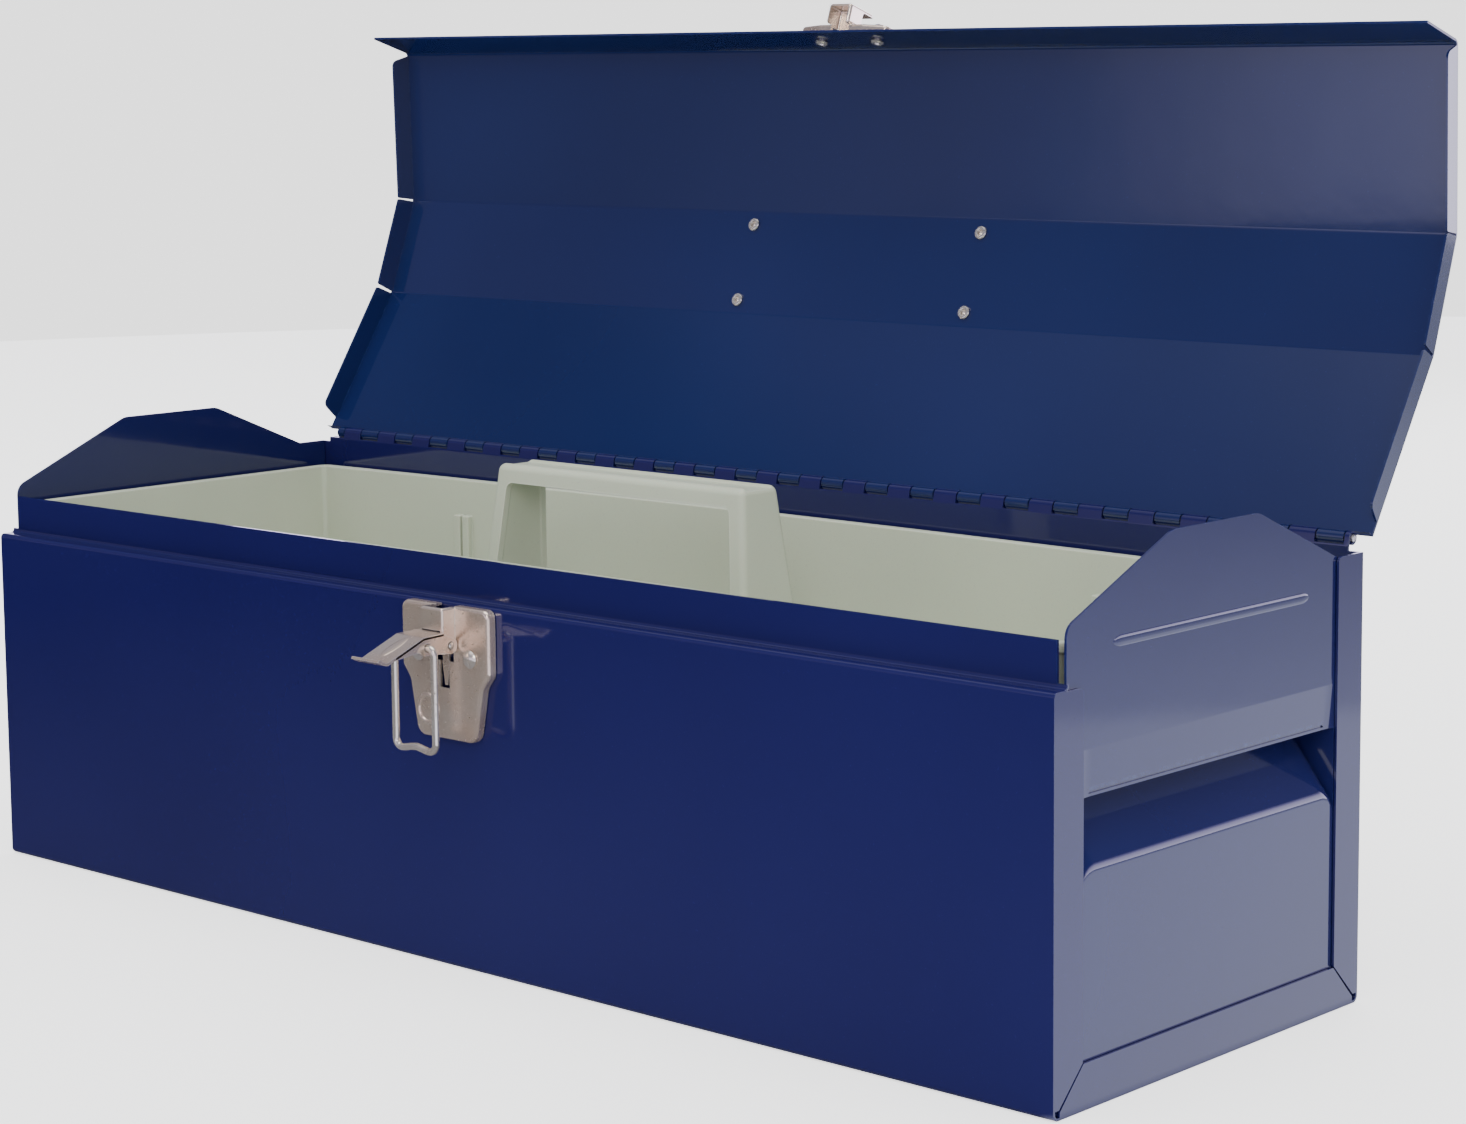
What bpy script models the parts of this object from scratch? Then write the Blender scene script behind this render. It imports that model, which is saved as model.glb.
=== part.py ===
"""Steel hip-roof tool box with a lift-out tray, shown with its lid open.

X runs along the box (+X right), Y across it (front at -Y, hinge at +Y) and Z up.
The origin is the centre of the bottom sheet. The lid and all it carries are laid out
in the closed position and then turned open about the hinge wire.
"""
import math

import bmesh
import bpy
from mathutils import Matrix, Vector

MM = 0.001
GAP = 0.3 * MM

# Body: one steel sheet folded into front, bottom and back, closed by two end plates.
SHEET = 0.8 * MM
BODY_HALF_LENGTH = 242.0 * MM
BODY_HALF_WIDTH = 78.0 * MM
LEDGE_HEIGHT = 120.3 * MM
GUTTER_INSET = 5.8 * MM
GUTTER_HEIGHT = 133.8 * MM
GUTTER_HALF_LENGTH = 238.6 * MM
BACK_HEIGHT = 140.8 * MM
FLANGE = 13.6 * MM
BEND = 2.2 * MM

# End plates: hip-roof outline, a pressed bead and an inward drawn handhold pocket.
PLATE_TOP = 158.8 * MM
PLATE_ROOF_FRONT = -21.0 * MM
PLATE_ROOF_BACK = 22.3 * MM
PLATE_FRONT_EDGE = -71.0 * MM
PLATE_FRONT_SHOULDER = 137.2 * MM
PLATE_BACK_SHOULDER = 140.4 * MM
BEAD_HEIGHT = 130.4 * MM
BEAD_HALF_LENGTH = 50.0 * MM
BEAD_HALF_WIDTH = 1.6 * MM
POCKET_TOP = 88.3 * MM
POCKET_BOTTOM = 66.0 * MM
POCKET_DEPTH = 13.6 * MM
POCKET_HALF_WIDTH = 64.3 * MM

# Hinge: alternate knuckles rolled from the body and lid sheets round one wire.
HINGE_Y = 80.0 * MM
HINGE_Z = 144.4 * MM
HINGE_LEFT = -233.0 * MM
HINGE_RIGHT = 238.0 * MM
KNUCKLE_PITCH = 20.18 * MM
FIRST_BODY_KNUCKLE = -224.0 * MM
KNUCKLE_INNER = 1.4 * MM
KNUCKLE_OUTER = KNUCKLE_INNER + SHEET
KNUCKLE_SWEEP = math.radians(290)
KNUCKLE_STEPS = 8
HINGE_WIRE = 1.1 * MM
HINGE_WINDOW = 0.7 * MM
OPEN_ANGLE = math.radians(109.35)

# Lid: hip roof with a front flange and short end flanges.
LID_HALF_LENGTH = 242.3 * MM
LID_TOP = 161.6 * MM
LID_ROOF_FRONT = -22.0 * MM
LID_ROOF_BACK = 17.4 * MM
LID_FRONT = -78.6 * MM
LID_FRONT_SHOULDER = 140.1 * MM
LID_FRONT_BOTTOM = 120.9 * MM
LID_END_FLANGE = 8.0 * MM
LID_END_SPLAY = 0.17
LID_BACK_END = 74.4 * MM

# Carry handle on the lid: two saddle brackets, each held by two tubular rivets.
HANDLE_X = 1.9 * MM
BRACKET_HALF_SPACING = 53.5 * MM
BRACKET_HALF_WIDTH = 7.0 * MM
BRACKET_HALF_LENGTH = 18.6 * MM
BRACKET_SHEET = 1.0 * MM
HANDLE_PIVOT_Y = -2.3 * MM
HANDLE_PIVOT_Z = LID_TOP + 5.2 * MM
BRACKET_EYE = 3.3 * MM
HANDLE_RIVET_SPACING = 29.0 * MM
BAIL_RADIUS = 4.5 * MM
BAIL_STUB_RADIUS = 2.9 * MM
BAIL_HEIGHT = 40.0 * MM
BAIL_HALF_SPAN = 67.0 * MM

# Draw latch on the front panel, its lever raised and its wire loop hanging.
LATCH_X = 2.3 * MM
LATCH_TOP = 119.8 * MM
LATCH_BOTTOM = 76.2 * MM
LATCH_HALF_WIDTH = 20.3 * MM
LATCH_STANDOFF = 3.3 * MM
LATCH_SHEET = 0.9 * MM
LATCH_PIVOT_Y = -84.6 * MM
LATCH_PIVOT_Z = 107.8 * MM
LATCH_PIN = 1.1 * MM
HUMP_HALF_WIDTH = 5.2 * MM
HUMP_FRONT = -87.2 * MM
HUMP_BOTTOM = 112.6 * MM
LATCH_RIVET_OFFSET = 12.0 * MM
LATCH_RIVET_Z = 103.6 * MM
LEVER_HALF_WIDTH = 6.4 * MM
LEVER_SHEET = 0.9 * MM
LEVER_TOP = 112.2 * MM
LEVER_KINK_Y = -96.0 * MM
LEVER_TIP_Y = -111.6 * MM
LEVER_TIP_Z = 105.8 * MM
LOOP_PIVOT_Y = -94.5 * MM
LOOP_PIVOT_Z = 108.3 * MM
LOOP_WIRE = 1.2 * MM
LOOP_HALF_WIDTH = 9.3 * MM
LOOP_LENGTH = 33.2 * MM

# Strike on the lid's front flange: a riveted plate with an upturned hook.
STRIKE_HALF_WIDTH = 20.0 * MM
STRIKE_BOTTOM = 124.0 * MM
STRIKE_TOP = 137.0 * MM
STRIKE_SHEET = 1.0 * MM
STRIKE_STANDOFF = 2.8 * MM
STRIKE_SHELF = 128.8 * MM
STRIKE_REACH = 7.0 * MM
STRIKE_LIP = 6.2 * MM
STRIKE_HOOK_HALF_WIDTH = 5.2 * MM
STRIKE_HOOK_BOTTOM = 121.6 * MM
STRIKE_RIVET_OFFSET = 13.0 * MM
STRIKE_RIVET_Z = 130.6 * MM

# Lift-out tray, resting on the shelves of the two handhold pockets.
TRAY_HALF_LENGTH = 235.0 * MM
TRAY_FRONT = -68.4 * MM
TRAY_BACK = 72.4 * MM
TRAY_FLOOR = 89.4 * MM
TRAY_RIM = 132.6 * MM
TRAY_WALL = 2.0 * MM
TRAY_RIM_LIP = 1.3 * MM
TRAY_RIM_DEPTH = 3.0 * MM
GRIP_X = 1.5 * MM
GRIP_TOP = 153.2 * MM
GRIP_HALF_LENGTH = 57.5 * MM
GRIP_FRONT = -2.0 * MM
GRIP_BACK = 15.5 * MM
GRIP_DRAFT = 0.10
GRIP_SIDE_BAND = 5.4 * MM
GRIP_TOP_BAND = 6.2 * MM
GRIP_SILL = 99.0 * MM
SLOT_X = 151.0 * MM
SLOT_TOP = 119.0 * MM
SLOT_RIB = 3.4 * MM
SLOT_GAP = 1.2 * MM
SLOT_DEPTH = 2.4 * MM

# Maps an outline's own plane to the model: its x, y and thickness directions.
IN_YZ = Matrix(((0, 0, 1, 0), (1, 0, 0, 0), (0, 1, 0, 0), (0, 0, 0, 1)))
IN_XZ = Matrix(((1, 0, 0, 0), (0, 0, -1, 0), (0, 1, 0, 0), (0, 0, 0, 1)))


# ---------------------------------------------------------------- scene set-up

def clear_scene():
    for obj in list(bpy.data.objects):
        bpy.data.objects.remove(obj, do_unlink=True)


def new_collection(name):
    collection = bpy.data.collections.new(name)
    bpy.context.scene.collection.children.link(collection)
    return collection


clear_scene()
PARTS = new_collection("tool_box")
CUTTERS = new_collection("cutters")


def finish(name, colour, metallic, roughness):
    """A plain painted, plated or moulded finish."""
    material = bpy.data.materials.new(name)
    material.use_nodes = True
    shader = material.node_tree.nodes["Principled BSDF"]
    shader.inputs["Base Color"].default_value = (*colour, 1.0)
    shader.inputs["Metallic"].default_value = metallic
    shader.inputs["Roughness"].default_value = roughness
    return material


def blue_paint(name):
    return finish(name, (0.008, 0.022, 0.11), 0.0, 0.18)


def nickel(name):
    return finish(name, (0.62, 0.56, 0.50), 1.0, 0.22)


def pivot(name, y, z, parent=None, turn=0.0, x=0.0):
    """An empty on a joint's axis; turn is a rotation about the X axis."""
    empty = bpy.data.objects.new(name, None)
    CUTTERS.objects.link(empty)
    place = Vector((x, y, z))
    if parent is not None:
        place -= Vector(parent["rest_place"])
        empty.parent = parent
    empty.location = place
    empty.rotation_euler.x = turn
    empty["rest_place"] = (x, y, z)
    return empty


def add(name, mesh, material=None, parent=None):
    """Put a mesh, given in the model's own place, in the scene under a pivot."""
    obj = bpy.data.objects.new(name, mesh)
    (PARTS if material else CUTTERS).objects.link(obj)
    if material:
        mesh.materials.clear()
        mesh.materials.append(material)
    else:
        obj.hide_render = True
        obj.display_type = "WIRE"
    if parent is not None:
        mesh.transform(Matrix.Translation(-Vector(parent["rest_place"])))
        obj.parent = parent
    return obj


# ---------------------------------------------------------------- shape helpers

def fillet(points, radius, steps=2, closed=False):
    """Round the corners of a 2-D outline; an open one keeps its two ends."""
    rounded = []
    count = len(points)
    for i, corner in enumerate(points):
        corner = Vector(corner)
        if not closed and i in (0, count - 1):
            rounded.append(corner)
            continue
        before = Vector(points[i - 1]) - corner
        after = Vector(points[(i + 1) % count]) - corner
        half = before.angle(after) / 2
        reach = radius / math.tan(half)
        reach = min(reach, before.length * 0.45, after.length * 0.45)
        bend = reach * math.tan(half)
        middle = (before.normalized() + after.normalized()).normalized()
        centre = corner + middle * (bend / math.sin(half))
        start = corner + before.normalized() * reach - centre
        turn = start.angle_signed(corner + after.normalized() * reach - centre)
        for k in range(steps + 1):
            angle = -turn * k / steps
            rounded.append(centre + Matrix.Rotation(angle, 2) @ start)
    return rounded


def arc(centre, radius, start, stop, steps):
    """Points on a circle, from one angle to another, ends included."""
    points = []
    for k in range(steps + 1):
        angle = start + (stop - start) * k / steps
        points.append(Vector(centre) + Vector((math.cos(angle), math.sin(angle))) * radius)
    return points


def weld(mesh):
    work = bmesh.new()
    work.from_mesh(mesh)
    bmesh.ops.remove_doubles(work, verts=work.verts, dist=0.001 * MM)
    bmesh.ops.recalc_face_normals(work, faces=work.faces)
    work.to_mesh(mesh)
    work.free()
    return mesh


def curve_mesh(curve):
    """The welded mesh of a curve, which is then removed."""
    guide = bpy.data.objects.new("guide", curve)
    CUTTERS.objects.link(guide)
    depsgraph = bpy.context.evaluated_depsgraph_get()
    mesh = bpy.data.meshes.new_from_object(guide.evaluated_get(depsgraph))
    bpy.data.objects.remove(guide)
    return weld(mesh)


def slab(outline, low, high, plane=IN_YZ):
    """A flat outline made solid between two places along its thickness."""
    curve = bpy.data.curves.new("outline", "CURVE")
    curve.dimensions = "2D"
    curve.fill_mode = "BOTH"
    curve.extrude = (high - low) / 2
    spline = curve.splines.new("POLY")
    spline.points.add(len(outline) - 1)
    for point, (u, v) in zip(spline.points, outline):
        point.co = (u, v, 0, 1)
    spline.use_cyclic_u = True
    mesh = curve_mesh(curve)
    mesh.transform(plane @ Matrix.Translation((0, 0, (low + high) / 2)))
    return mesh


def block(low, high):
    """A box between two corners."""
    low, high = Vector(low), Vector(high)
    work = bmesh.new()
    bmesh.ops.create_cube(work, size=1.0)
    bmesh.ops.scale(work, vec=high - low, verts=work.verts)
    bmesh.ops.translate(work, vec=(low + high) / 2, verts=work.verts)
    mesh = bpy.data.meshes.new("block")
    work.to_mesh(mesh)
    work.free()
    return mesh


def drafted_block(low, high, draft):
    """A box whose sides lean out towards the bottom; low and high hold at the top."""
    mesh = block(low, high)
    middle = (Vector(low) + Vector(high)) / 2
    for vertex in mesh.vertices:
        lean = draft * (high[2] - vertex.co.z)
        vertex.co.x += math.copysign(lean, vertex.co.x - middle.x)
        vertex.co.y += math.copysign(lean, vertex.co.y - middle.y)
    return mesh


def rod(start, stop, radius, sides=16):
    """A round bar between two points."""
    start, stop = Vector(start), Vector(stop)
    along = stop - start
    work = bmesh.new()
    bmesh.ops.create_cone(work, cap_ends=True, segments=sides, radius1=radius,
                          radius2=radius, depth=along.length)
    turn = along.to_track_quat("Z", "Y").to_matrix().to_4x4()
    bmesh.ops.transform(work, matrix=Matrix.Translation((start + stop) / 2) @ turn,
                        verts=work.verts)
    mesh = bpy.data.meshes.new("rod")
    work.to_mesh(mesh)
    work.free()
    return mesh


def tube(path, radii, resolution=2):
    """A wire or bar along a path of 3-D points, with filled ends."""
    curve = bpy.data.curves.new("path", "CURVE")
    curve.dimensions = "3D"
    curve.bevel_depth = 1.0
    curve.bevel_resolution = resolution
    curve.use_fill_caps = True
    spline = curve.splines.new("POLY")
    spline.points.add(len(path) - 1)
    for point, place, radius in zip(spline.points, path, radii):
        point.co = (*place, 1)
        point.radius = radius
    return curve_mesh(curve)


def joined(meshes):
    """Several closed meshes held in one, for use as a single cutter."""
    work = bmesh.new()
    for mesh in meshes:
        work.from_mesh(mesh)
    together = bpy.data.meshes.new("joined")
    work.to_mesh(together)
    work.free()
    return together


def folded_sheet(profile, half_length):
    """The outer surface of a sheet bent along X, from its section in the YZ plane."""
    work = bmesh.new()
    row = [work.verts.new((-half_length, y, z)) for y, z in profile]
    edges = [work.edges.new(pair) for pair in zip(row, row[1:])]
    grown = bmesh.ops.extrude_edge_only(work, edges=edges)["geom"]
    moved = [item for item in grown if isinstance(item, bmesh.types.BMVert)]
    bmesh.ops.translate(work, vec=(2 * half_length, 0, 0), verts=moved)
    for face in work.faces:
        face.normal_update()
    mesh = bpy.data.meshes.new("folded")
    work.to_mesh(mesh)
    work.free()
    return mesh


def solidify(obj, thickness):
    """Give the outer surface its thickness on the inside."""
    modifier = obj.modifiers.new("thickness", "SOLIDIFY")
    modifier.thickness = thickness
    modifier.offset = -1
    modifier.use_even_offset = True


def bevel(obj, width, segments=2, angle=50):
    modifier = obj.modifiers.new("rounding", "BEVEL")
    modifier.width = width
    modifier.segments = segments
    modifier.limit_method = "ANGLE"
    modifier.angle_limit = math.radians(angle)


def combine(obj, mesh, operation, name, parent=None):
    """Join a mesh to an object or cut it away."""
    tool = add(name, mesh, parent=parent)
    modifier = obj.modifiers.new(name, "BOOLEAN")
    modifier.operation = operation
    modifier.object = tool
    modifier.solver = "EXACT"
    return tool


def cut(obj, mesh, name, parent=None):
    return combine(obj, mesh, "DIFFERENCE", name, parent)


def join(obj, mesh, name, parent=None):
    return combine(obj, mesh, "UNION", name, parent)


def turned(profile, centre, axis, steps=12):
    """A turned mesh from a profile of (radius, distance along the axis)."""
    mesh = bpy.data.meshes.new("profile")
    points = [(radius, 0, along) for radius, along in profile]
    mesh.from_pydata(points, [(i, i + 1) for i in range(len(points) - 1)], [])
    guide = bpy.data.objects.new("guide", mesh)
    CUTTERS.objects.link(guide)
    screw = guide.modifiers.new("turn", "SCREW")
    screw.steps = screw.render_steps = steps
    screw.use_merge_vertices = True
    screw.merge_threshold = 0.001 * MM
    depsgraph = bpy.context.evaluated_depsgraph_get()
    result = bpy.data.meshes.new_from_object(guide.evaluated_get(depsgraph))
    bpy.data.objects.remove(guide)
    turn = Vector(axis).to_track_quat("Z", "Y").to_matrix().to_4x4()
    result.transform(Matrix.Translation(centre) @ turn)
    return weld(result)


# ---------------------------------------------------------------- hinge layout

def knuckle_spans(first):
    """X ranges of one sheet's knuckles, clipped to the hinge's length."""
    spans = []
    centre = first
    while centre - KNUCKLE_PITCH / 4 < HINGE_RIGHT:
        low = max(centre - KNUCKLE_PITCH / 4 + GAP, HINGE_LEFT)
        high = min(centre + KNUCKLE_PITCH / 4 - GAP, HINGE_RIGHT)
        if high - low > MM:
            spans.append((low, high))
        centre += KNUCKLE_PITCH
    return spans


BODY_SPANS = knuckle_spans(FIRST_BODY_KNUCKLE)
LID_SPANS = knuckle_spans(FIRST_BODY_KNUCKLE - KNUCKLE_PITCH / 2)


def gaps_between(spans, far_left, far_right):
    """The X ranges that a row of knuckles leaves free."""
    edges = [far_left] + [edge for span in spans for edge in span] + [far_right]
    return list(zip(edges[0::2], edges[1::2]))


# ---------------------------------------------------------------- body

def body_profile():
    """Outer surface from the knuckle's free end down the back and up the front."""
    roll = arc((HINGE_Y, HINGE_Z), KNUCKLE_INNER, math.pi - KNUCKLE_SWEEP, math.pi,
               KNUCKLE_STEPS)
    w = BODY_HALF_WIDTH
    folds = [(w, BACK_HEIGHT + MM), (w, 0), (-w, 0), (-w, LEDGE_HEIGHT),
             (-w + GUTTER_INSET, LEDGE_HEIGHT), (-w + GUTTER_INSET, GUTTER_HEIGHT)]
    return roll + fillet(folds, BEND)


def body_end_flanges(side):
    """Front, bottom and back flanges of one end, mitred at the lower corners."""
    w = BODY_HALF_WIDTH - SHEET / 2
    inner = BODY_HALF_WIDTH - FLANGE
    slit = 0.4 * MM
    clip = 2.6 * MM
    front = [(-w, clip + slit), (-w + clip - SHEET / 2, clip + slit),
             (-inner, FLANGE + slit), (-inner, LEDGE_HEIGHT - SHEET / 2),
             (-w, LEDGE_HEIGHT - SHEET / 2)]
    back = [(w, BACK_HEIGHT), (inner, BACK_HEIGHT), (inner, FLANGE + slit),
            (w - clip + SHEET / 2, clip + slit), (w, clip + slit)]
    bottom = [(-w + clip, SHEET / 2), (w - clip, SHEET / 2), (w - clip, clip - slit),
              (inner - slit, FLANGE), (-inner + slit, FLANGE), (-w + clip, clip - slit)]
    near = BODY_HALF_LENGTH - SHEET
    ends = sorted((side * near, side * BODY_HALF_LENGTH))
    return [slab(outline, *ends) for outline in (front, back, bottom)]


def make_body_wrap():
    wrap = add("body_wrap", folded_sheet(body_profile(), BODY_HALF_LENGTH),
               blue_paint("body_paint"))
    solidify(wrap, SHEET)
    far = BODY_HALF_LENGTH + 2 * MM
    hinge_top = HINGE_Z + 4 * MM
    windows = []
    for low, high in gaps_between(BODY_SPANS, -far, far):
        floor = HINGE_Z - KNUCKLE_OUTER - HINGE_WINDOW
        windows.append(block((low, BODY_HALF_WIDTH - 2 * MM, floor),
                             (high, HINGE_Y + 4 * MM, hinge_top)))
    cut(wrap, joined(windows), "body_hinge_windows")
    gutter_y = -BODY_HALF_WIDTH + GUTTER_INSET
    ends = []
    for side in (-1, 1):
        near, outer = sorted((side * GUTTER_HALF_LENGTH, side * far))
        ends.append(block((near, gutter_y - MM, LEDGE_HEIGHT + 1.5 * MM),
                          (outer, gutter_y + 2 * MM, GUTTER_HEIGHT + MM)))
        near, outer = sorted((side * (BODY_HALF_LENGTH - 5 * MM), side * far))
        ends.append(block((near, BODY_HALF_WIDTH - 2 * MM, BACK_HEIGHT),
                          (outer, HINGE_Y + 4 * MM, hinge_top)))
    cut(wrap, joined(ends), "gutter_ends")
    flanges = body_end_flanges(-1) + body_end_flanges(1)
    join(wrap, joined(flanges), "body_end_flanges")
    holes = []
    for side in (-1, 1):
        x = LATCH_X + side * LATCH_RIVET_OFFSET
        holes.append(rod((x, -BODY_HALF_WIDTH - 2 * MM, LATCH_RIVET_Z),
                         (x, -BODY_HALF_WIDTH + 2 * MM, LATCH_RIVET_Z), 1.9 * MM, 12))
    cut(wrap, joined(holes), "latch_rivet_holes")
    return wrap


def plate_outline():
    edge = BODY_HALF_WIDTH - SHEET - GAP
    foot = SHEET + GAP
    left = fillet([(0, foot), (-edge, foot), (-edge, 60 * MM)], BEND, 3)
    right = fillet([(edge, 60 * MM), (edge, foot), (0, foot)], BEND, 3)
    lower = left[1:-1] + [(-edge, LEDGE_HEIGHT - SHEET - 2 * GAP),
                          (PLATE_FRONT_EDGE, LEDGE_HEIGHT - SHEET - 2 * GAP)]
    roof = [(PLATE_FRONT_EDGE, PLATE_FRONT_SHOULDER), (PLATE_ROOF_FRONT, PLATE_TOP),
            (PLATE_ROOF_BACK, PLATE_TOP), (65.5 * MM, PLATE_BACK_SHOULDER)]
    start, end = (PLATE_FRONT_EDGE, 125 * MM), (edge, PLATE_BACK_SHOULDER)
    return lower + fillet([start] + roof + [end], 5 * MM, 3) + right[1:-1]


def pocket_sections(face, side):
    """The drawn pocket's outer skin and its hollow, as (x, z) sections."""
    toe = [(2.0 * MM, POCKET_BOTTOM + 4.9 * MM), (0.6 * MM, POCKET_BOTTOM + 2.2 * MM)]
    back = POCKET_TOP - 1.8 * MM
    hollow = [(-MM, POCKET_TOP), (POCKET_DEPTH, POCKET_TOP), (POCKET_DEPTH, back),
              *toe, (0, POCKET_BOTTOM), (-MM, POCKET_BOTTOM)]
    skin = [(SHEET / 2, POCKET_TOP + SHEET), (POCKET_DEPTH + SHEET, POCKET_TOP + SHEET),
            (POCKET_DEPTH + SHEET, back - 0.3 * MM),
            (2.7 * MM, POCKET_BOTTOM + 4.4 * MM), (1.4 * MM, POCKET_BOTTOM + 1.9 * MM),
            (SHEET / 2, POCKET_BOTTOM - 1.0 * MM)]
    to_x = lambda section: [(side * (face - depth), z) for depth, z in section]
    return to_x(skin), to_x(hollow)


def make_end_plate(name, side):
    face = BODY_HALF_LENGTH - SHEET - GAP
    low, high = sorted((side * (face - SHEET), side * face))
    plate = add(name, slab(plate_outline(), low, high), blue_paint(name + "_paint"))
    skin, hollow = pocket_sections(face, side)
    reach = POCKET_HALF_WIDTH
    shell = join(plate, slab(skin, -reach - SHEET, reach + SHEET, IN_XZ), name + "_pocket_skin")
    bead_end = BEAD_HALF_WIDTH + SHEET
    pad = [(BEAD_HALF_LENGTH + SHEET, BEAD_HEIGHT), (BEAD_HALF_LENGTH - MM, BEAD_HEIGHT + bead_end),
           (-BEAD_HALF_LENGTH + MM, BEAD_HEIGHT + bead_end), (-BEAD_HALF_LENGTH - SHEET, BEAD_HEIGHT),
           (-BEAD_HALF_LENGTH + MM, BEAD_HEIGHT - bead_end), (BEAD_HALF_LENGTH - MM, BEAD_HEIGHT - bead_end)]
    inner = sorted((side * (face - 1.6 * MM), side * (face - SHEET / 2)))
    join(plate, slab(pad, *inner), name + "_bead_pad")
    cut(plate, slab(hollow, -reach, reach, IN_XZ), name + "_pocket_hollow")
    groove = [(BEAD_HALF_LENGTH, 0), (BEAD_HALF_LENGTH - MM, BEAD_HALF_WIDTH),
              (-BEAD_HALF_LENGTH + MM, BEAD_HALF_WIDTH), (-BEAD_HALF_LENGTH, 0),
              (-BEAD_HALF_LENGTH + MM, -BEAD_HALF_WIDTH), (BEAD_HALF_LENGTH - MM, -BEAD_HALF_WIDTH)]
    groove = [(y, z + BEAD_HEIGHT) for y, z in groove]
    sunk = sorted((side * (face - 0.8 * MM), side * (face + MM)))
    cut(plate, slab(groove, *sunk), name + "_bead_groove")
    return shell


# ---------------------------------------------------------------- lid

def back_slope_angle():
    """Downward angle of the lid's back slope, tangent to the knuckles."""
    across = HINGE_Y - LID_ROOF_BACK
    drop = LID_TOP - HINGE_Z
    return math.atan2(drop, across) - math.asin(KNUCKLE_OUTER / math.hypot(across, drop))


def lid_folds():
    return [(LID_FRONT + 0.4 * MM, LID_FRONT_BOTTOM), (LID_FRONT, LID_FRONT_SHOULDER),
            (LID_ROOF_FRONT, LID_TOP), (LID_ROOF_BACK, LID_TOP)]


def lid_profile():
    """Outer surface from the front flange's edge over the roof to the knuckle."""
    meet = math.pi / 2 - back_slope_angle()
    roll = arc((HINGE_Y, HINGE_Z), KNUCKLE_OUTER, meet, meet - KNUCKLE_SWEEP, KNUCKLE_STEPS)
    return fillet(lid_folds() + [roll[0]], BEND)[:-1] + roll


def lid_end_flange(start, stop, side, trim_start, trim_stop):
    """One end flange below the fold line from start to stop, leaning outwards."""
    start, stop = Vector(start), Vector(stop)
    along = (stop - start).normalized()
    down = Vector((along.y, -along.x))
    inset = SHEET / 2
    first, last = start + along * trim_start[0], stop - along * trim_stop[0]
    outline = [first + down * inset, last + down * inset,
               stop - along * trim_stop[1] + down * LID_END_FLANGE,
               start + along * trim_start[1] + down * LID_END_FLANGE]
    low, high = sorted((side * LID_HALF_LENGTH, side * (LID_HALF_LENGTH - SHEET)))
    mesh = slab(outline, low, high)
    for vertex in mesh.vertices:
        depth = (vertex.co.yz - start).dot(down)
        vertex.co.x += side * LID_END_SPLAY * (depth - inset)
    return mesh


def make_lid_shell(hinge):
    lid = add("lid_shell", folded_sheet(lid_profile(), LID_HALF_LENGTH),
              blue_paint("lid_paint"), hinge)
    solidify(lid, SHEET)
    slope = back_slope_angle()
    far = LID_HALF_LENGTH + 2 * MM
    reach = KNUCKLE_OUTER + HINGE_WINDOW
    windows = []
    for low, high in gaps_between(LID_SPANS, -far, far):
        window = block((low, -reach, -4 * MM), (high, 4 * MM, 4 * MM))
        window.transform(Matrix.Translation((0, HINGE_Y, HINGE_Z)) @ Matrix.Rotation(-slope, 4, "X"))
        windows.append(window)
    cut(lid, joined(windows), "lid_hinge_windows", hinge)
    bottom, front, roof_front, roof_back = lid_folds()
    back = (LID_BACK_END, LID_TOP - (LID_BACK_END - LID_ROOF_BACK) * math.tan(slope))
    notch = (0.4 * MM, 1.6 * MM)
    flanges = []
    for side in (-1, 1):
        flanges.append(lid_end_flange(front, roof_front, side, (1.5 * MM, 4 * MM), notch))
        flanges.append(lid_end_flange(roof_front, roof_back, side, notch, notch))
        flanges.append(lid_end_flange(roof_back, back, side, notch, (0.5 * MM, 2 * MM)))
    join(lid, joined(flanges), "lid_end_flanges", hinge)
    holes = [rod((x, y, LID_TOP - 3 * MM), (x, y, LID_TOP + 3 * MM), 1.9 * MM, 12)
             for x, y in handle_rivet_places()]
    for side in (-1, 1):
        x = LATCH_X + side * STRIKE_RIVET_OFFSET
        holes.append(rod((x, LID_FRONT - 3 * MM, STRIKE_RIVET_Z),
                         (x, LID_FRONT + 3 * MM, STRIKE_RIVET_Z), 1.9 * MM, 12))
    cut(lid, joined(holes), "lid_rivet_holes", hinge)
    return lid


# ---------------------------------------------------------------- carry handle

def handle_rivet_places():
    return [(HANDLE_X + side * BRACKET_HALF_SPACING, HANDLE_PIVOT_Y + end * HANDLE_RIVET_SPACING / 2)
            for side in (-1, 1) for end in (-1, 1)]


def make_handle_bracket(name, side, hinge):
    """A saddle: two feet on the lid and a raised eye for the bail's stub."""
    foot = LID_TOP + GAP + BRACKET_SHEET
    outer = BRACKET_EYE + BRACKET_SHEET
    y, z = HANDLE_PIVOT_Y, HANDLE_PIVOT_Z
    eye = arc((y, z), outer, math.pi, 0, 8)
    outline = [(y - BRACKET_HALF_LENGTH, foot), (y - outer, foot), *eye, (y + outer, foot),
               (y + BRACKET_HALF_LENGTH, foot)]
    mesh = folded_sheet(outline, BRACKET_HALF_WIDTH)
    centre = HANDLE_X + side * BRACKET_HALF_SPACING
    mesh.transform(Matrix.Translation((centre, 0, 0)))
    bracket = add(name, mesh, nickel(name + "_plate"), hinge)
    solidify(bracket, BRACKET_SHEET)
    holes = [rod((x, hole_y, foot - 3 * MM), (x, hole_y, foot + 2 * MM), 1.9 * MM, 12)
             for x, hole_y in handle_rivet_places() if (x > HANDLE_X) == (side > 0)]
    cut(bracket, joined(holes), name + "_holes", hinge)
    return bracket


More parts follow.
